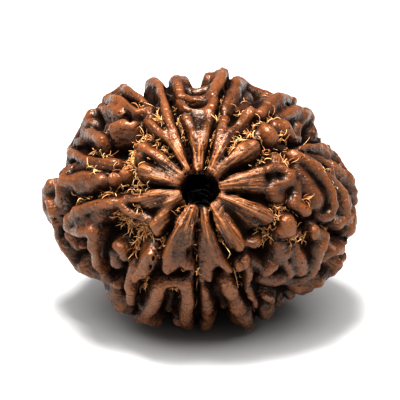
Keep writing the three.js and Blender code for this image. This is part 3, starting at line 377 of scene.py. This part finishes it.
# Hollows between the ribs: [angle, reach, radius, depth below the ellipsoid].
HOLLOWS = [
    [566, 0.82, 1.0, 1.0],
    [593, 0.74, 0.9, 0.9],
    [618, 0.72, 0.8, 1.0],
    [638, 0.68, 0.9, 0.9],
    [505, 0.5, 0.9, 0.9],
    [515, 0.68, 0.7, 0.8],
    [480, 0.45, 0.8, 0.7],
    [475, 0.7, 0.8, 0.7],
    [570, 0.45, 1.2, 0.7],
    [590, 0.36, 0.9, 0.8],
    [538, 0.88, 0.8, 1.0],
    [684, 0.4, 0.9, 0.7],
    [690, 0.56, 0.7, 0.8],
    [668, 0.47, 0.8, 0.7],
    [381, 0.74, 0.6, 0.8],
    [363, 0.82, 0.8, 0.8],
    [394, 0.38, 0.8, 0.7],
    [410, 0.58, 0.8, 0.6],
]

# The dried fibres
FIBRE_DENSITY = 1.3  # fibres drawn for each that the patches list
FIBRES_A_CLEFT = 26
FIBRE_SIDES = 4
FIBRE_STEPS = 7
FIBRE_RADII = (0.022, 0.05)
FIBRE_END_WIDTH = 0.35  # as a share of the middle's
FIBRE_END_HEIGHT = 0.35  # as a share of how high its middle arches
FIBRE_LEVELLING = 0.7  # how much of its way off the surface a fibre loses at each step
FIBRE_CLINGING = 0.8  # how much of the way back to its height over the surface it goes at each step

# Those that curl in the crevices
TANGLE_LENGTHS = (0.3, 1.2)
TANGLE_LIFTS = (0.04, 0.3)  # how high they arch
TANGLE_CURL = 0.25
TANGLE_CAVITY = 0.46  # where a crevice is deep enough for them
PATCH_EDGE = 1.6  # how many spreads from its middle a patch ends
PATCH_STANDS_OUT = 1.06  # its middle's distance from the stone's centre, as a share of the ellipsoid's

# Those that run along the clefts
CLEFT_REACHES = (0.25, 1.7)
CLEFT_LENGTHS = (1.0, 3.2)
CLEFT_LIFTS = (0.03, 0.2)
CLEFT_CURL = 0.1
CLEFT_SPREAD = 0.15

# Where the dried fibres cling: [angle about the hole, reach, spread in millimetres, how many].
FIBRE_PATCHES = [
    [117, 0.42, 0.9, 46],
    [104, 0.34, 0.8, 34],
    [104, 0.46, 0.7, 20],
    [128, 0.3, 1.1, 46],
    [133, 0.4, 0.9, 30],
    [146, 0.39, 0.8, 34],
    [160, 0.37, 0.8, 34],
    [79, 0.3, 0.6, 22],
    [79.5, 0.44, 0.7, 26],
    [71, 0.6, 0.9, 24],
    [55, 0.28, 1.1, 30],
    [54, 0.42, 1.0, 28],
    [47, 0.55, 0.8, 18],
    [32, 0.36, 1.1, 34],
    [31, 0.48, 1.0, 32],
    [22, 0.45, 0.8, 16],
    [8, 0.64, 0.8, 18],
    [356, 0.5, 0.5, 8],
    [184, 0.3, 1.2, 30],
    [186, 0.42, 1.1, 26],
    [187, 0.6, 1.1, 18],
    [205, 0.4, 1.2, 40],
    [218, 0.38, 1.2, 46],
    [228, 0.42, 1.0, 34],
    [242, 0.36, 0.8, 26],
    [245, 0.68, 0.9, 24],
    [267, 0.25, 0.8, 16],
    [267, 0.45, 0.9, 16],
    [288, 0.3, 0.8, 16],
    [289, 0.6, 0.9, 16],
    [335, 0.36, 0.7, 22],
    [319, 0.42, 0.9, 26],
    [325, 0.54, 0.9, 28],
    [343, 0.42, 1.1, 16],
    [342, 0.7, 1.2, 18],
    [262, 0.62, 0.9, 10],
    [150, 0.62, 0.9, 14],
    [165, 0.52, 0.8, 12],
    [119, 0.6, 0.8, 12],
    [91, 0.62, 0.8, 10],
    [250, 0.15, 0.8, 14],
    [80, 0.14, 0.8, 12],
]

RNG = np.random.default_rng(SEED)


def lerp(a, b, share):
    return a + (b - a) * share


def swell(angle, reach):
    """The share by which the stone is swollen or flattened there."""
    steps = np.array(SWELLS)
    turned = np.asarray(angle, float) % 360
    after = np.clip(np.searchsorted(steps[:, 0], turned, side="right"), 1, len(steps) - 1)
    low, high = steps[after - 1], steps[after]
    share = np.clip((turned - low[..., 0]) / (high[..., 0] - low[..., 0]), 0, 1)
    eased = share * share * (3 - 2 * share)
    return 1 + lerp(low[..., 1], high[..., 1], eased) * np.sin(np.radians(90 * np.asarray(reach))) ** 2


def foot(angle, reach):
    """The ellipsoid's point at an angle about the hole and a reach from the near pole."""
    fall, turn = math.radians(90 * reach), math.radians(angle)
    way = np.array([math.sin(fall) * math.cos(turn), math.sin(fall) * math.sin(turn), math.cos(fall)])
    return ELLIPSOID * way * swell(angle, reach)


def outward(point):
    normal = point / ELLIPSOID**2
    return normal / np.linalg.norm(normal)


def angle_and_reach(points):
    scaled = points / ELLIPSOID
    size = np.maximum(np.linalg.norm(scaled, axis=-1), 1e-9)
    angle = np.degrees(np.arctan2(scaled[..., 1], scaled[..., 0]))
    reach = np.degrees(np.arccos(np.clip(scaled[..., 2] / size, -1, 1))) / 90
    return angle, reach


def ellipsoid_distance(points):
    scaled = points / ELLIPSOID
    size = np.linalg.norm(scaled, axis=-1)
    slope = np.maximum(np.linalg.norm(scaled / ELLIPSOID, axis=-1), 1e-9)
    return size * (size - swell(*angle_and_reach(points))) / slope


def cleft_angle(cleft, reach):
    at_pole, half_way_round = CLEFTS[cleft % len(CLEFTS)]
    turns = 360 * (cleft // len(CLEFTS))
    return turns + lerp(at_pole, half_way_round, np.minimum(reach, 2 - reach))


def disorder(n):
    """A small regular disorder, from -1 to 1, that keeps the far half from being a plain mirror."""
    return math.sin(12.9898 * n + 4.1)


def carried_to_far(rib, start, end, seed):
    """The points of a near rib carried to the same share of another segment on the far half."""
    carried = []
    for angle, reach, half_width, crest in rib:
        first = cleft_angle(start, reach)
        share = 1 - (angle - first) / (cleft_angle(start + 1, reach) - first)
        far_reach = 2 - reach + FAR_REACH_DISORDER * disorder(seed + 1)
        far_angle = lerp(cleft_angle(end, far_reach), cleft_angle(end + 1, far_reach), share)
        scale = 1 + FAR_SIZE_DISORDER * disorder(seed + 2)
        far_angle = far_angle + FAR_ANGLE_DISORDER * disorder(seed)
        carried.append([far_angle, far_reach, half_width * scale, crest * scale])
    return carried


def all_ribs():
    ribs = [rib for segment in SEGMENTS for rib in segment]
    for end, start in enumerate(FAR_SEGMENT_REPEATS):
        for i, rib in enumerate(SEGMENTS[start]):
            ribs.append(carried_to_far(rib, start, end, 31 * end + 3 * i))
    return ribs


def stretches_of(rib):
    """Both ends' centres and radii for each stretch of a rib between two of its points."""
    ends = []
    for angle, reach, half_width, crest in rib:
        root = foot(angle, reach)
        radius = half_width * RIB_FULLNESS
        ends.append((root + outward(root) * (crest - radius), radius))
    if len(ends) == 1:
        return [(ends[0], ends[0])]
    return list(zip(ends, ends[1:]))


def smooth_min(a, b, width):
    overlap = np.maximum(width - np.abs(a - b), 0) / width
    return np.minimum(a, b) - overlap * overlap * width / 4


def smooth_max(a, b, width):
    return -smooth_min(-a, -b, width)


def stretch_distance(stretch, points):
    (start, start_radius), (end, end_radius) = stretch
    along = end - start
    up = outward((start + end) / 2)
    offset = points - start
    share = np.clip(offset @ along / max(along @ along, 1e-9), 0, 1)
    radius = lerp(start_radius, end_radius, share)
    offset = offset - share[..., None] * along
    above = offset @ up
    beside = np.linalg.norm(offset - above[..., None] * up, axis=-1)
    capped = np.linalg.norm(offset, axis=-1) - radius
    return np.where(above > 0, capped, beside - radius + RIB_FLARE * above)


def nearby(low, high):
    """The slices of the grid between two corners."""
    first = np.maximum(((low + HALF_GRID) / SPACING).astype(int), 0)
    last = ((high + HALF_GRID) / SPACING).astype(int) + 2
    return tuple(slice(a, b) for a, b in zip(first, last))


def smooth_noise(shape, cell):
    """Random values from -1 to 1 that change smoothly over so many millimetres."""
    values = RNG.uniform(-1, 1, [int(n * SPACING / cell) + 3 for n in shape])
    for axis, count in enumerate(shape):
        place = np.arange(count) * SPACING / cell
        before = place.astype(int)
        share = place - before
        share = (share * share * (3 - 2 * share)).reshape([-1 if i == axis else 1 for i in range(3)])
        values = lerp(np.take(values, before, axis), np.take(values, before + 1, axis), share)
    return values


def floor_depth(points):
    """How far below the ellipsoid the floor between the ribs lies. It stands out round the hole."""
    _, reach = angle_and_reach(points)
    from_collar = np.clip((np.minimum(reach, 2 - reach) - COLLAR_REACH) / COLLAR_FALL, 0, 1)
    return lerp(-COLLAR_RISE, FLOOR_SINK, from_collar)


def with_hollows(field, points):
    for angle, reach, radius, depth in HOLLOWS:
        mouth = foot(angle, reach)
        centre = mouth + outward(mouth) * (radius - depth)
        field = smooth_max(field, radius - np.linalg.norm(points - centre, axis=-1), CUT_BLEND)
    return field


def with_ribs(field, points):
    for rib in all_ribs():
        stretches = stretches_of(rib)
        centres = np.array([centre for stretch in stretches for centre, _ in stretch])
        near = nearby(centres.min(0) - RIB_MARGIN, centres.max(0) + RIB_MARGIN)
        distance = np.min([stretch_distance(stretch, points[near]) for stretch in stretches], 0)
        field[near] = smooth_min(field[near], distance, BLEND)
    return field


def cleft_distance(points, from_ellipsoid):
    angle, reach = angle_and_reach(points)
    from_axis = np.hypot(points[..., 0], points[..., 1])
    gap = np.full(from_axis.shape, np.inf)
    for cleft in range(len(CLEFTS)):
        off = (angle - cleft_angle(cleft, reach) + 180) % 360 - 180
        gap = np.minimum(gap, np.abs(np.radians(off)) * from_axis)
    return np.maximum(gap - CLEFT_HALF_WIDTH, -(from_ellipsoid + CLEFT_DEPTH))


def hole_distance(points):
    share = (1 - points[..., 2] / ELLIPSOID[2]) / 2
    radius = lerp(HOLE_RADIUS, FAR_HOLE_RADIUS, share)
    return np.hypot(points[..., 0], points[..., 1] + HOLE_LEAN * share) - radius


def lying(points):
    """Points turned from the stone's own frame to the way it lies."""
    across, up, along = points[..., 0], points[..., 1], points[..., 2]
    depth = up * math.sin(HOLE_RISE) - along * math.cos(HOLE_RISE)
    height = up * math.cos(HOLE_RISE) + along * math.sin(HOLE_RISE)
    return np.stack([across, depth, height], -1) + CENTRE


def box_distance(points, low, high):
    middle, half = (low + high) / 2, (high - low) / 2
    return (np.abs(lying(points) - middle) - half).max(-1)


def stone_field(low, high):
    """The distance to the stone's surface at each point of the grid, kept inside the solid's box."""
    axes = [np.arange(-half, half + SPACING, SPACING) for half in HALF_GRID]
    points = np.stack(np.meshgrid(*axes, indexing="ij"), -1)
    shape = points.shape[:3]
    strayed = points + WOBBLE * np.stack([smooth_noise(shape, WOBBLE_SIZE) for _ in range(3)], -1)
    from_ellipsoid = ellipsoid_distance(strayed)
    field = from_ellipsoid + floor_depth(strayed) + FLOOR_WAVES * smooth_noise(shape, FLOOR_WAVE_SIZE)
    field = with_ribs(with_hollows(field, strayed), strayed)
    field = smooth_max(field, -cleft_distance(strayed, from_ellipsoid), CUT_BLEND)
    field += LUMPS * (smooth_noise(shape, LUMP_SIZE) + SMALL_LUMPS * smooth_noise(shape, LUMP_SIZE / 2))
    ragged = HOLE_RAGGEDNESS * smooth_noise(shape, LUMP_SIZE)
    field = smooth_max(field, ragged - hole_distance(strayed), CUT_BLEND)
    return np.maximum(field, box_distance(points, low, high))


def blurred(values, size):
    """A plain blur over so many millimetres, one axis after the other."""
    reach = int(2 * size / SPACING)
    steps = np.arange(-reach, reach + 1) * SPACING
    weights = np.exp(-0.5 * (steps / size) ** 2)
    weights /= weights.sum()
    for axis in range(3):
        before = np.take(values, [0] * reach, axis)
        after = np.take(values, [-1] * reach, axis)
        padded = np.concatenate([before, values, after], axis)
        count = values.shape[axis]
        values = sum(w * np.take(padded, range(i, i + count), axis) for i, w in enumerate(weights))
    return values


def sampled(values, places):
    """The grid's values at places given in grid steps."""
    before = np.clip(places.astype(int), 0, np.array(values.shape) - 2)
    share = places - before
    total = 0
    for corner in np.ndindex(2, 2, 2):
        weight = np.prod(np.where(np.array(corner) == 1, share, 1 - share), -1)
        total = total + weight * values[tuple((before + corner).T)]
    return total


def mesh_object(name, points, faces):
    mesh = bpy.data.meshes.new(name)
    mesh.from_pydata(points.tolist(), [], faces)
    mesh.update()
    mesh.shade_smooth()
    piece = bpy.data.objects.new(name, mesh)
    bpy.context.scene.collection.objects.link(piece)
    return piece


def keep_values(piece, name, values):
    """Values or vectors kept on a mesh's points, for its material to read."""
    kind, key = ("FLOAT", "value") if values.ndim == 1 else ("FLOAT_VECTOR", "vector")
    attribute = piece.data.attributes.new(name, kind, "POINT")
    attribute.data.foreach_set(key, values.astype(np.float32).ravel())


def turned_outward(points, faces):
    a, b, c = points[faces[:, 0]], points[faces[:, 1]], points[faces[:, 2]]
    inside_out = (a * np.cross(b, c)).sum() < 0
    return faces[:, ::-1] if inside_out else faces


def make_stone(field):
    """The stone's fine mesh, its points in the stone's own frame, and the cavity at each of them."""
    grid = openvdb.FloatGrid(1.0)
    grid.copyFromArray(np.clip(field, -1, 1).astype(np.float32))
    places, quads = grid.convertToQuads(isovalue=0.0)
    places, quads = np.array(places, float), np.array(quads, int)
    points = places * SPACING - HALF_GRID
    piece = mesh_object("stone", lying(points) / A_METRE, turned_outward(points, quads).tolist())
    solid = 1.0 / (1.0 + np.exp(np.clip(field / EDGE_SOFTNESS, -LARGEST_POWER, LARGEST_POWER)))
    cavity = sampled(blurred(solid, CAVITY_SIZE), places).astype(np.float32)
    keep_values(piece, "cavity", cavity)
    keep_values(piece, "crease", sampled(blurred(solid, CAVITY_SIZE / 2), places))
    keep_values(piece, "hollow", sampled(blurred(solid, 2 * CAVITY_SIZE), places))
    angle, reach = angle_and_reach(points)
    turn = np.radians(angle)
    grain = [GRAIN_AROUND * np.cos(turn), GRAIN_AROUND * np.sin(turn), GRAIN_ALONG * reach]
    keep_values(piece, "reach", reach)
    keep_values(piece, "place", points)
    keep_values(piece, "grain", np.stack(grain, -1))
    return piece, points, cavity


def unit(vector):
    return vector / max(np.linalg.norm(vector), 1e-6)


class Surface:
    """The stone's surface near single places, for what lies on it."""

    def __init__(self, field):
        self.field = field
        self.slope = np.stack(np.gradient(field, SPACING), -1)

    def distance(self, place):
        return sampled(self.field, ((place + HALF_GRID) / SPACING)[None])[0]

    def normal(self, place):
        cell = ((place + HALF_GRID) / SPACING).astype(int)
        return unit(self.slope[tuple(np.clip(cell, 0, np.array(self.field.shape) - 1))])


def fibre_line(surface, place, way, length, lift, curl):
    """The middle line of a fibre that starts at a place and follows the surface, a little above it."""
    bend = RNG.normal(size=3) * curl
    line = []
    for step in range(FIBRE_STEPS):
        normal = surface.normal(place)
        way = unit(way - normal * (way @ normal) * FIBRE_LEVELLING)
        height = lift * (FIBRE_END_HEIGHT + math.sin(math.pi * step / (FIBRE_STEPS - 1)))
        place = place - normal * (surface.distance(place) - height) * FIBRE_CLINGING
        line.append(place)
        bend = bend + RNG.normal(size=3) * curl
        way = unit(way + bend / 2)
        place = place + way * length / (FIBRE_STEPS - 1)
    return np.array(line)


def fibre_corners(surface, line, radius):
    """The corners round a fibre, section by section, thin at both ends."""
    corners = []
    for step, middle in enumerate(line):
        ahead = unit(line[min(step + 1, FIBRE_STEPS - 1)] - line[max(step - 1, 0)])
        side = unit(np.cross(ahead, surface.normal(middle)))
        top = np.cross(side, ahead)
        thick = radius * lerp(FIBRE_END_WIDTH, 1, math.sin(math.pi * (step + 0.5) / FIBRE_STEPS))
        for k in range(FIBRE_SIDES):
            turn = 2 * math.pi * k / FIBRE_SIDES
            corners.append(middle + thick * (math.cos(turn) * side + math.sin(turn) * top))
    return corners


def fibre_faces(first):
    """The faces of a fibre whose corners start at a number."""
    faces = []
    for step in range(FIBRE_STEPS - 1):
        for k in range(FIBRE_SIDES):
            a = first + step * FIBRE_SIDES + k
            b = first + step * FIBRE_SIDES + (k + 1) % FIBRE_SIDES
            faces.append([a, b, b + FIBRE_SIDES, a + FIBRE_SIDES])
    last = first + (FIBRE_STEPS - 1) * FIBRE_SIDES
    faces.append([first + k for k in reversed(range(FIBRE_SIDES))])
    faces.append([last + k for k in range(FIBRE_SIDES)])
    return faces


def tangled_lines(surface, points, cavity):
    """Fibres that curl in the crevices, patch by patch, near half and far half."""
    walled_in = np.clip(cavity - TANGLE_CAVITY, 0, 1) ** 1.5
    lines = []
    for angle, near_reach, spread, count in FIBRE_PATCHES:
        for reach in (near_reach, 2 - near_reach):
            away = np.linalg.norm(points - foot(angle, reach) * PATCH_STANDS_OUT, axis=1)
            weight = walled_in * np.exp(-((away / spread) ** 2))
            weight[away > PATCH_EDGE * spread] = 0
            if weight.sum() == 0:
                continue
            for start in RNG.choice(len(points), int(count * FIBRE_DENSITY), p=weight / weight.sum()):
                length, lift = RNG.uniform(*TANGLE_LENGTHS), RNG.uniform(*TANGLE_LIFTS)
                way = RNG.normal(size=3)
                lines.append(fibre_line(surface, points[start], way, length, lift, TANGLE_CURL))
    return lines


def cleft_lines(surface):
    """Straighter fibres that run along the clefts."""
    AHEAD = 0.05
    lines = []
    for cleft in range(len(CLEFTS)):
        for _ in range(FIBRES_A_CLEFT):
            reach = RNG.uniform(*CLEFT_REACHES)
            place = foot(cleft_angle(cleft, reach), reach)
            way = foot(cleft_angle(cleft, reach + AHEAD), reach + AHEAD) - place
            place = place + RNG.normal(size=3) * CLEFT_SPREAD
            length, lift = RNG.uniform(*CLEFT_LENGTHS), RNG.uniform(*CLEFT_LIFTS)
            lines.append(fibre_line(surface, place, way, length, lift, CLEFT_CURL))
    return lines


def make_fibres(points, cavity, field):
    """Thin dried threads of pulp that lie in the crevices. Those that would touch the floor are left out."""
    surface = Surface(field)
    corners, faces, tints = [], [], []
    for line in tangled_lines(surface, points, cavity) + cleft_lines(surface):
        if lying(line)[:, 2].min() < FIBRE_RADII[1]:
            continue
        faces += fibre_faces(len(corners))
        corners += fibre_corners(surface, line, RNG.uniform(*FIBRE_RADII))
        tints += [RNG.uniform()] * FIBRE_SIDES * FIBRE_STEPS
    piece = mesh_object("fibres", lying(np.array(corners)) / A_METRE, faces)
    keep_values(piece, "tint", np.array(tints))
    return piece


class Nodes:
    """A material's nodes, written as formulas."""

    def __init__(self, name):
        self.material = bpy.data.materials.new(name)
        self.material.use_nodes = True
        self.tree = self.material.node_tree
        self.shader = self.tree.nodes["Principled BSDF"]

    def node(self, kind, inputs=(), **settings):
        made = self.tree.nodes.new("ShaderNode" + kind)
        for key, value in settings.items():
            setattr(made, key, value)
        for key, value in dict(inputs).items():
            self.put(value, made.inputs[key])
        return made

    def put(self, value, socket):
        if isinstance(value, bpy.types.NodeSocket):
            self.tree.links.new(value, socket)
        else:
            socket.default_value = value

    def kept(self, name, output="Fac"):
        return self.node("Attribute", attribute_name=name).outputs[output]

    def maths(self, operation, a, b=0.0):
        return self.node("Math", {0: a, 1: b}, operation=operation).outputs[0]

    def times(self, a, b):
        return self.maths("MULTIPLY", a, b)

    def ramp(self, value, low, high, to_low=0.0, to_high=1.0):
        inputs = {"Value": value, "From Min": low, "From Max": high, "To Min": to_low, "To Max": to_high}
        return self.node("MapRange", inputs, interpolation_type="SMOOTHSTEP").outputs["Result"]

    def mix(self, share, a, b, blend="MIX"):
        mixed = self.node("Mix", data_type="RGBA", blend_type=blend)
        self.put(share, mixed.inputs["Factor"])
        self.put(a, mixed.inputs[6])
        self.put(b, mixed.inputs[7])
        return mixed.outputs[2]

    def noise(self, vector, scale, detail=4.0, rough=0.55):
        inputs = {"Vector": vector, "Scale": scale, "Detail": detail, "Roughness": rough}
        return self.node("TexNoise", inputs).outputs["Fac"]

    def bump(self, height, distance, normal):
        made = self.node("Bump", {"Height": height, "Strength": 1.0, "Distance": distance})
        if normal is not None:
            self.put(normal, made.inputs["Normal"])
        return made.outputs["Normal"]


def colour(red, green, blue):
    """A colour given as it shows on a screen, from 0 to 255."""
    def linear(value):
        share = value / 255
        return share / 12.92 if share <= 0.04045 else ((share + 0.055) / 1.055) ** 2.4
    return (linear(red), linear(green), linear(blue), 1.0)


def stone_patterns(nodes):
    """What the mesh keeps about each place, and the noises that the stone's layers and bumps share."""
    place = nodes.kept("place", "Vector")
    cavity = nodes.kept("cavity")
    grit = nodes.noise(place, 3.4, 4.0, 0.7)
    shift = nodes.times(nodes.maths("SUBTRACT", grit, 0.5), RAGGED_EDGES)
    return SimpleNamespace(
        place=place,
        cavity=cavity,
        crease=nodes.kept("crease"),
        hollow=nodes.kept("hollow"),
        reach=nodes.kept("reach"),
        ragged=nodes.maths("ADD", cavity, shift),
        grit=grit,
        patches=nodes.noise(place, 0.45, 3.0),
        fine=nodes.noise(place, 2.4, 5.0, 0.65),
        streaks=nodes.noise(nodes.kept("grain", "Vector"), 1.3, 5.0, 0.7),
        folds=nodes.maths("ABSOLUTE", nodes.maths("SUBTRACT", nodes.noise(place, 0.75, 2.0), 0.5)),
        pores=nodes.node("TexVoronoi", {"Vector": place, "Scale": 1.7}).outputs["Distance"],
    )


def stone_layers(nodes, seen):
    """The layers of colour over the stone's brown, from first to last: [where, how strong, colour]."""
    patchy = nodes.ramp(seen.patches, 0.32, 0.6, 0.45, 0.95)
    amber = nodes.times(nodes.ramp(seen.ragged, *AMBER_CAVITY), patchy)
    pale = nodes.times(nodes.ramp(seen.reach, *PALE_REACH), nodes.ramp(seen.streaks, 0.51, 0.58))
    dark = nodes.times(nodes.ramp(seen.reach, *DARK_REACH, 0.35, 1.0), nodes.ramp(seen.streaks, 0.47, 0.41))
    mottled = nodes.times(nodes.ramp(seen.grit, 0.49, 0.37), nodes.ramp(seen.cavity, *SIDE_CAVITY, 0.3, 1.0))
    wrinkled = nodes.times(nodes.ramp(seen.folds, 0.035, 0.0), nodes.ramp(seen.cavity, *SIDE_CAVITY))
    pitted = nodes.times(nodes.ramp(seen.pores, 0.19, 0.1), nodes.ramp(seen.patches, 0.42, 0.56))
    return [
        [amber, 1.0, AMBER],
        [nodes.ramp(seen.ragged, *WORN_CAVITY), 0.5, WORN],
        [pale, 0.75, PALE_STREAK],
        [dark, 0.85, DARK_STREAK],
        [mottled, 0.85, GRIT],
        [wrinkled, 0.8, WRINKLE],
        [pitted, 0.85, PORE],
        # Painted shade, darker where shade falls in the crevices and the deep hollows
        [nodes.ramp(seen.ragged, *PAINTED_SHADE_CAVITY), 0.93, PAINTED_CREVICE_SHADE],
        [nodes.ramp(seen.hollow, *PAINTED_SHADE_HOLLOW), 0.75, PAINTED_HOLLOW_SHADE],
        # Painted shade in the creases at the feet of the ribs
        [nodes.ramp(seen.crease, *PAINTED_SHADE_CREASE), 0.9, PAINTED_CREASE_SHADE],
    ]


def stone_colour(nodes, seen):
    body = nodes.mix(nodes.ramp(seen.patches, 0.35, 0.65), colour(*DARK_BODY), colour(*LIGHT_BODY))
    dulled = nodes.mix(1.0, body, colour(*DULLED), "MULTIPLY")
    body = nodes.mix(nodes.ramp(seen.fine, 0.35, 0.65), dulled, body)
    for where, strength, tone in stone_layers(nodes, seen):
        body = nodes.mix(nodes.times(where, strength), body, colour(*tone))
    return body


def stone_relief(nodes, seen):
    """Bumps too fine for the mesh, one over the other: [height, depth in metres]."""
    bumps = [
        [seen.streaks, 0.00008],
        [nodes.ramp(seen.folds, 0.0, 0.1), 0.00005],
        [nodes.noise(seen.place, 1.6, 3.0), 0.00005],
        [nodes.noise(seen.place, 5.5, 3.0, 0.6), 0.00003],
        [nodes.ramp(seen.pores, 0.05, 0.24), 0.00006],
    ]
    normal = None
    for height, depth in bumps:
        normal = nodes.bump(height, depth, normal)
    return normal


def stone_material():
    nodes = Nodes("stone")
    seen = stone_patterns(nodes)
    # Rougher, and so duller, over the painted shade in the crevices
    dullness = nodes.times(nodes.ramp(seen.ragged, *PAINTED_SHADE_CAVITY), 0.5)
    sheen = nodes.ramp(seen.grit, 0.3, 0.7, 0.36, 0.2)
    inputs = nodes.shader.inputs
    nodes.put(stone_colour(nodes, seen), inputs["Base Color"])
    nodes.put(nodes.maths("ADD", sheen, dullness), inputs["Roughness"])
    nodes.put(nodes.ramp(seen.ragged, *DULL_CAVITY, 0.7, 0.12), inputs["Specular IOR Level"])
    nodes.put(stone_relief(nodes, seen), inputs["Normal"])
    inputs["Specular Tint"].default_value = (1.0, 0.8, 0.67, 1.0)
    return nodes.material


def fibre_material():
    nodes = Nodes("fibres")
    shade = nodes.mix(nodes.kept("tint"), colour(*FIBRE_BROWN), colour(*FIBRE_STRAW))
    nodes.put(shade, nodes.shader.inputs["Base Color"])
    nodes.shader.inputs["Roughness"].default_value = 0.62
    return nodes.material


def floor_material():
    nodes = Nodes("floor")
    nodes.shader.inputs["Base Color"].default_value = (FLOOR_GREY, FLOOR_GREY, FLOOR_GREY, 1.0)
    nodes.shader.inputs["Roughness"].default_value = 0.75
    nodes.shader.inputs["Specular IOR Level"].default_value = 0.2
    return nodes.material


def make_floor():
    far = FLOOR_HALF_WIDTH
    corners = np.array([[-far, -far, 0], [far, -far, 0], [far, far, 0], [-far, far, 0]])
    floor = mesh_object("floor", corners, [[0, 1, 2, 3]])
    floor.data.materials.append(floor_material())


def aimed(thing, place, target):
    thing.location = place
    thing.rotation_euler = (Vector(target) - Vector(place)).to_track_quat("-Z", "Y").to_euler()


def make_camera():
    centre = Vector(CENTRE / A_METRE)
    back = Vector((0, -math.cos(VIEW_RISE), math.sin(VIEW_RISE)))
    lens = bpy.data.cameras.new("camera")
    lens.sensor_width = SENSOR_WIDTH
    lens.lens = SENSOR_WIDTH * VIEW_DISTANCE / VIEW_WIDTH
    lens.clip_start, lens.clip_end = 0.01, 10
    camera = bpy.data.objects.new("camera", lens)
    bpy.context.scene.collection.objects.link(camera)
    aimed(camera, centre + back * VIEW_DISTANCE / A_METRE, centre)
    bpy.context.scene.camera = camera


def add_softbox(name, place, sides, power):
    box = bpy.data.lights.new(name, "AREA")
    box.shape = "RECTANGLE"
    box.size, box.size_y = sides
    box.energy = power
    lamp = bpy.data.objects.new(name, box)
    bpy.context.scene.collection.objects.link(lamp)
    aimed(lamp, place, LIT_SPOT)


def make_light():
    world = bpy.data.worlds.new("surroundings")
    world.use_nodes = True
    bpy.context.scene.world = world
    background = world.node_tree.nodes["Background"]
    background.inputs["Color"].default_value = (1.0, 1.0, 1.0, 1.0)
    background.inputs["Strength"].default_value = SURROUNDINGS
    for softbox in SOFTBOXES:
        add_softbox(*softbox)
    bpy.context.scene.view_settings.view_transform = "Standard"
    bpy.context.scene.view_settings.look = "None"
    bpy.context.scene.view_settings.exposure = EXPOSURE
    bpy.context.scene.view_settings.gamma = GAMMA


def main():
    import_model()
    cad_low, cad_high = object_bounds()
    field = stone_field(np.array(cad_low) * A_METRE, np.array(cad_high) * A_METRE)
    stone, points, cavity = make_stone(field)
    stone.data.materials.append(stone_material())
    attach(stone, "root")
    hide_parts("bead")
    fibres = make_fibres(points, cavity, field)
    fibres.data.materials.append(fibre_material())
    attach(fibres, "root")
    make_floor()
    make_camera()
    make_light()


main()
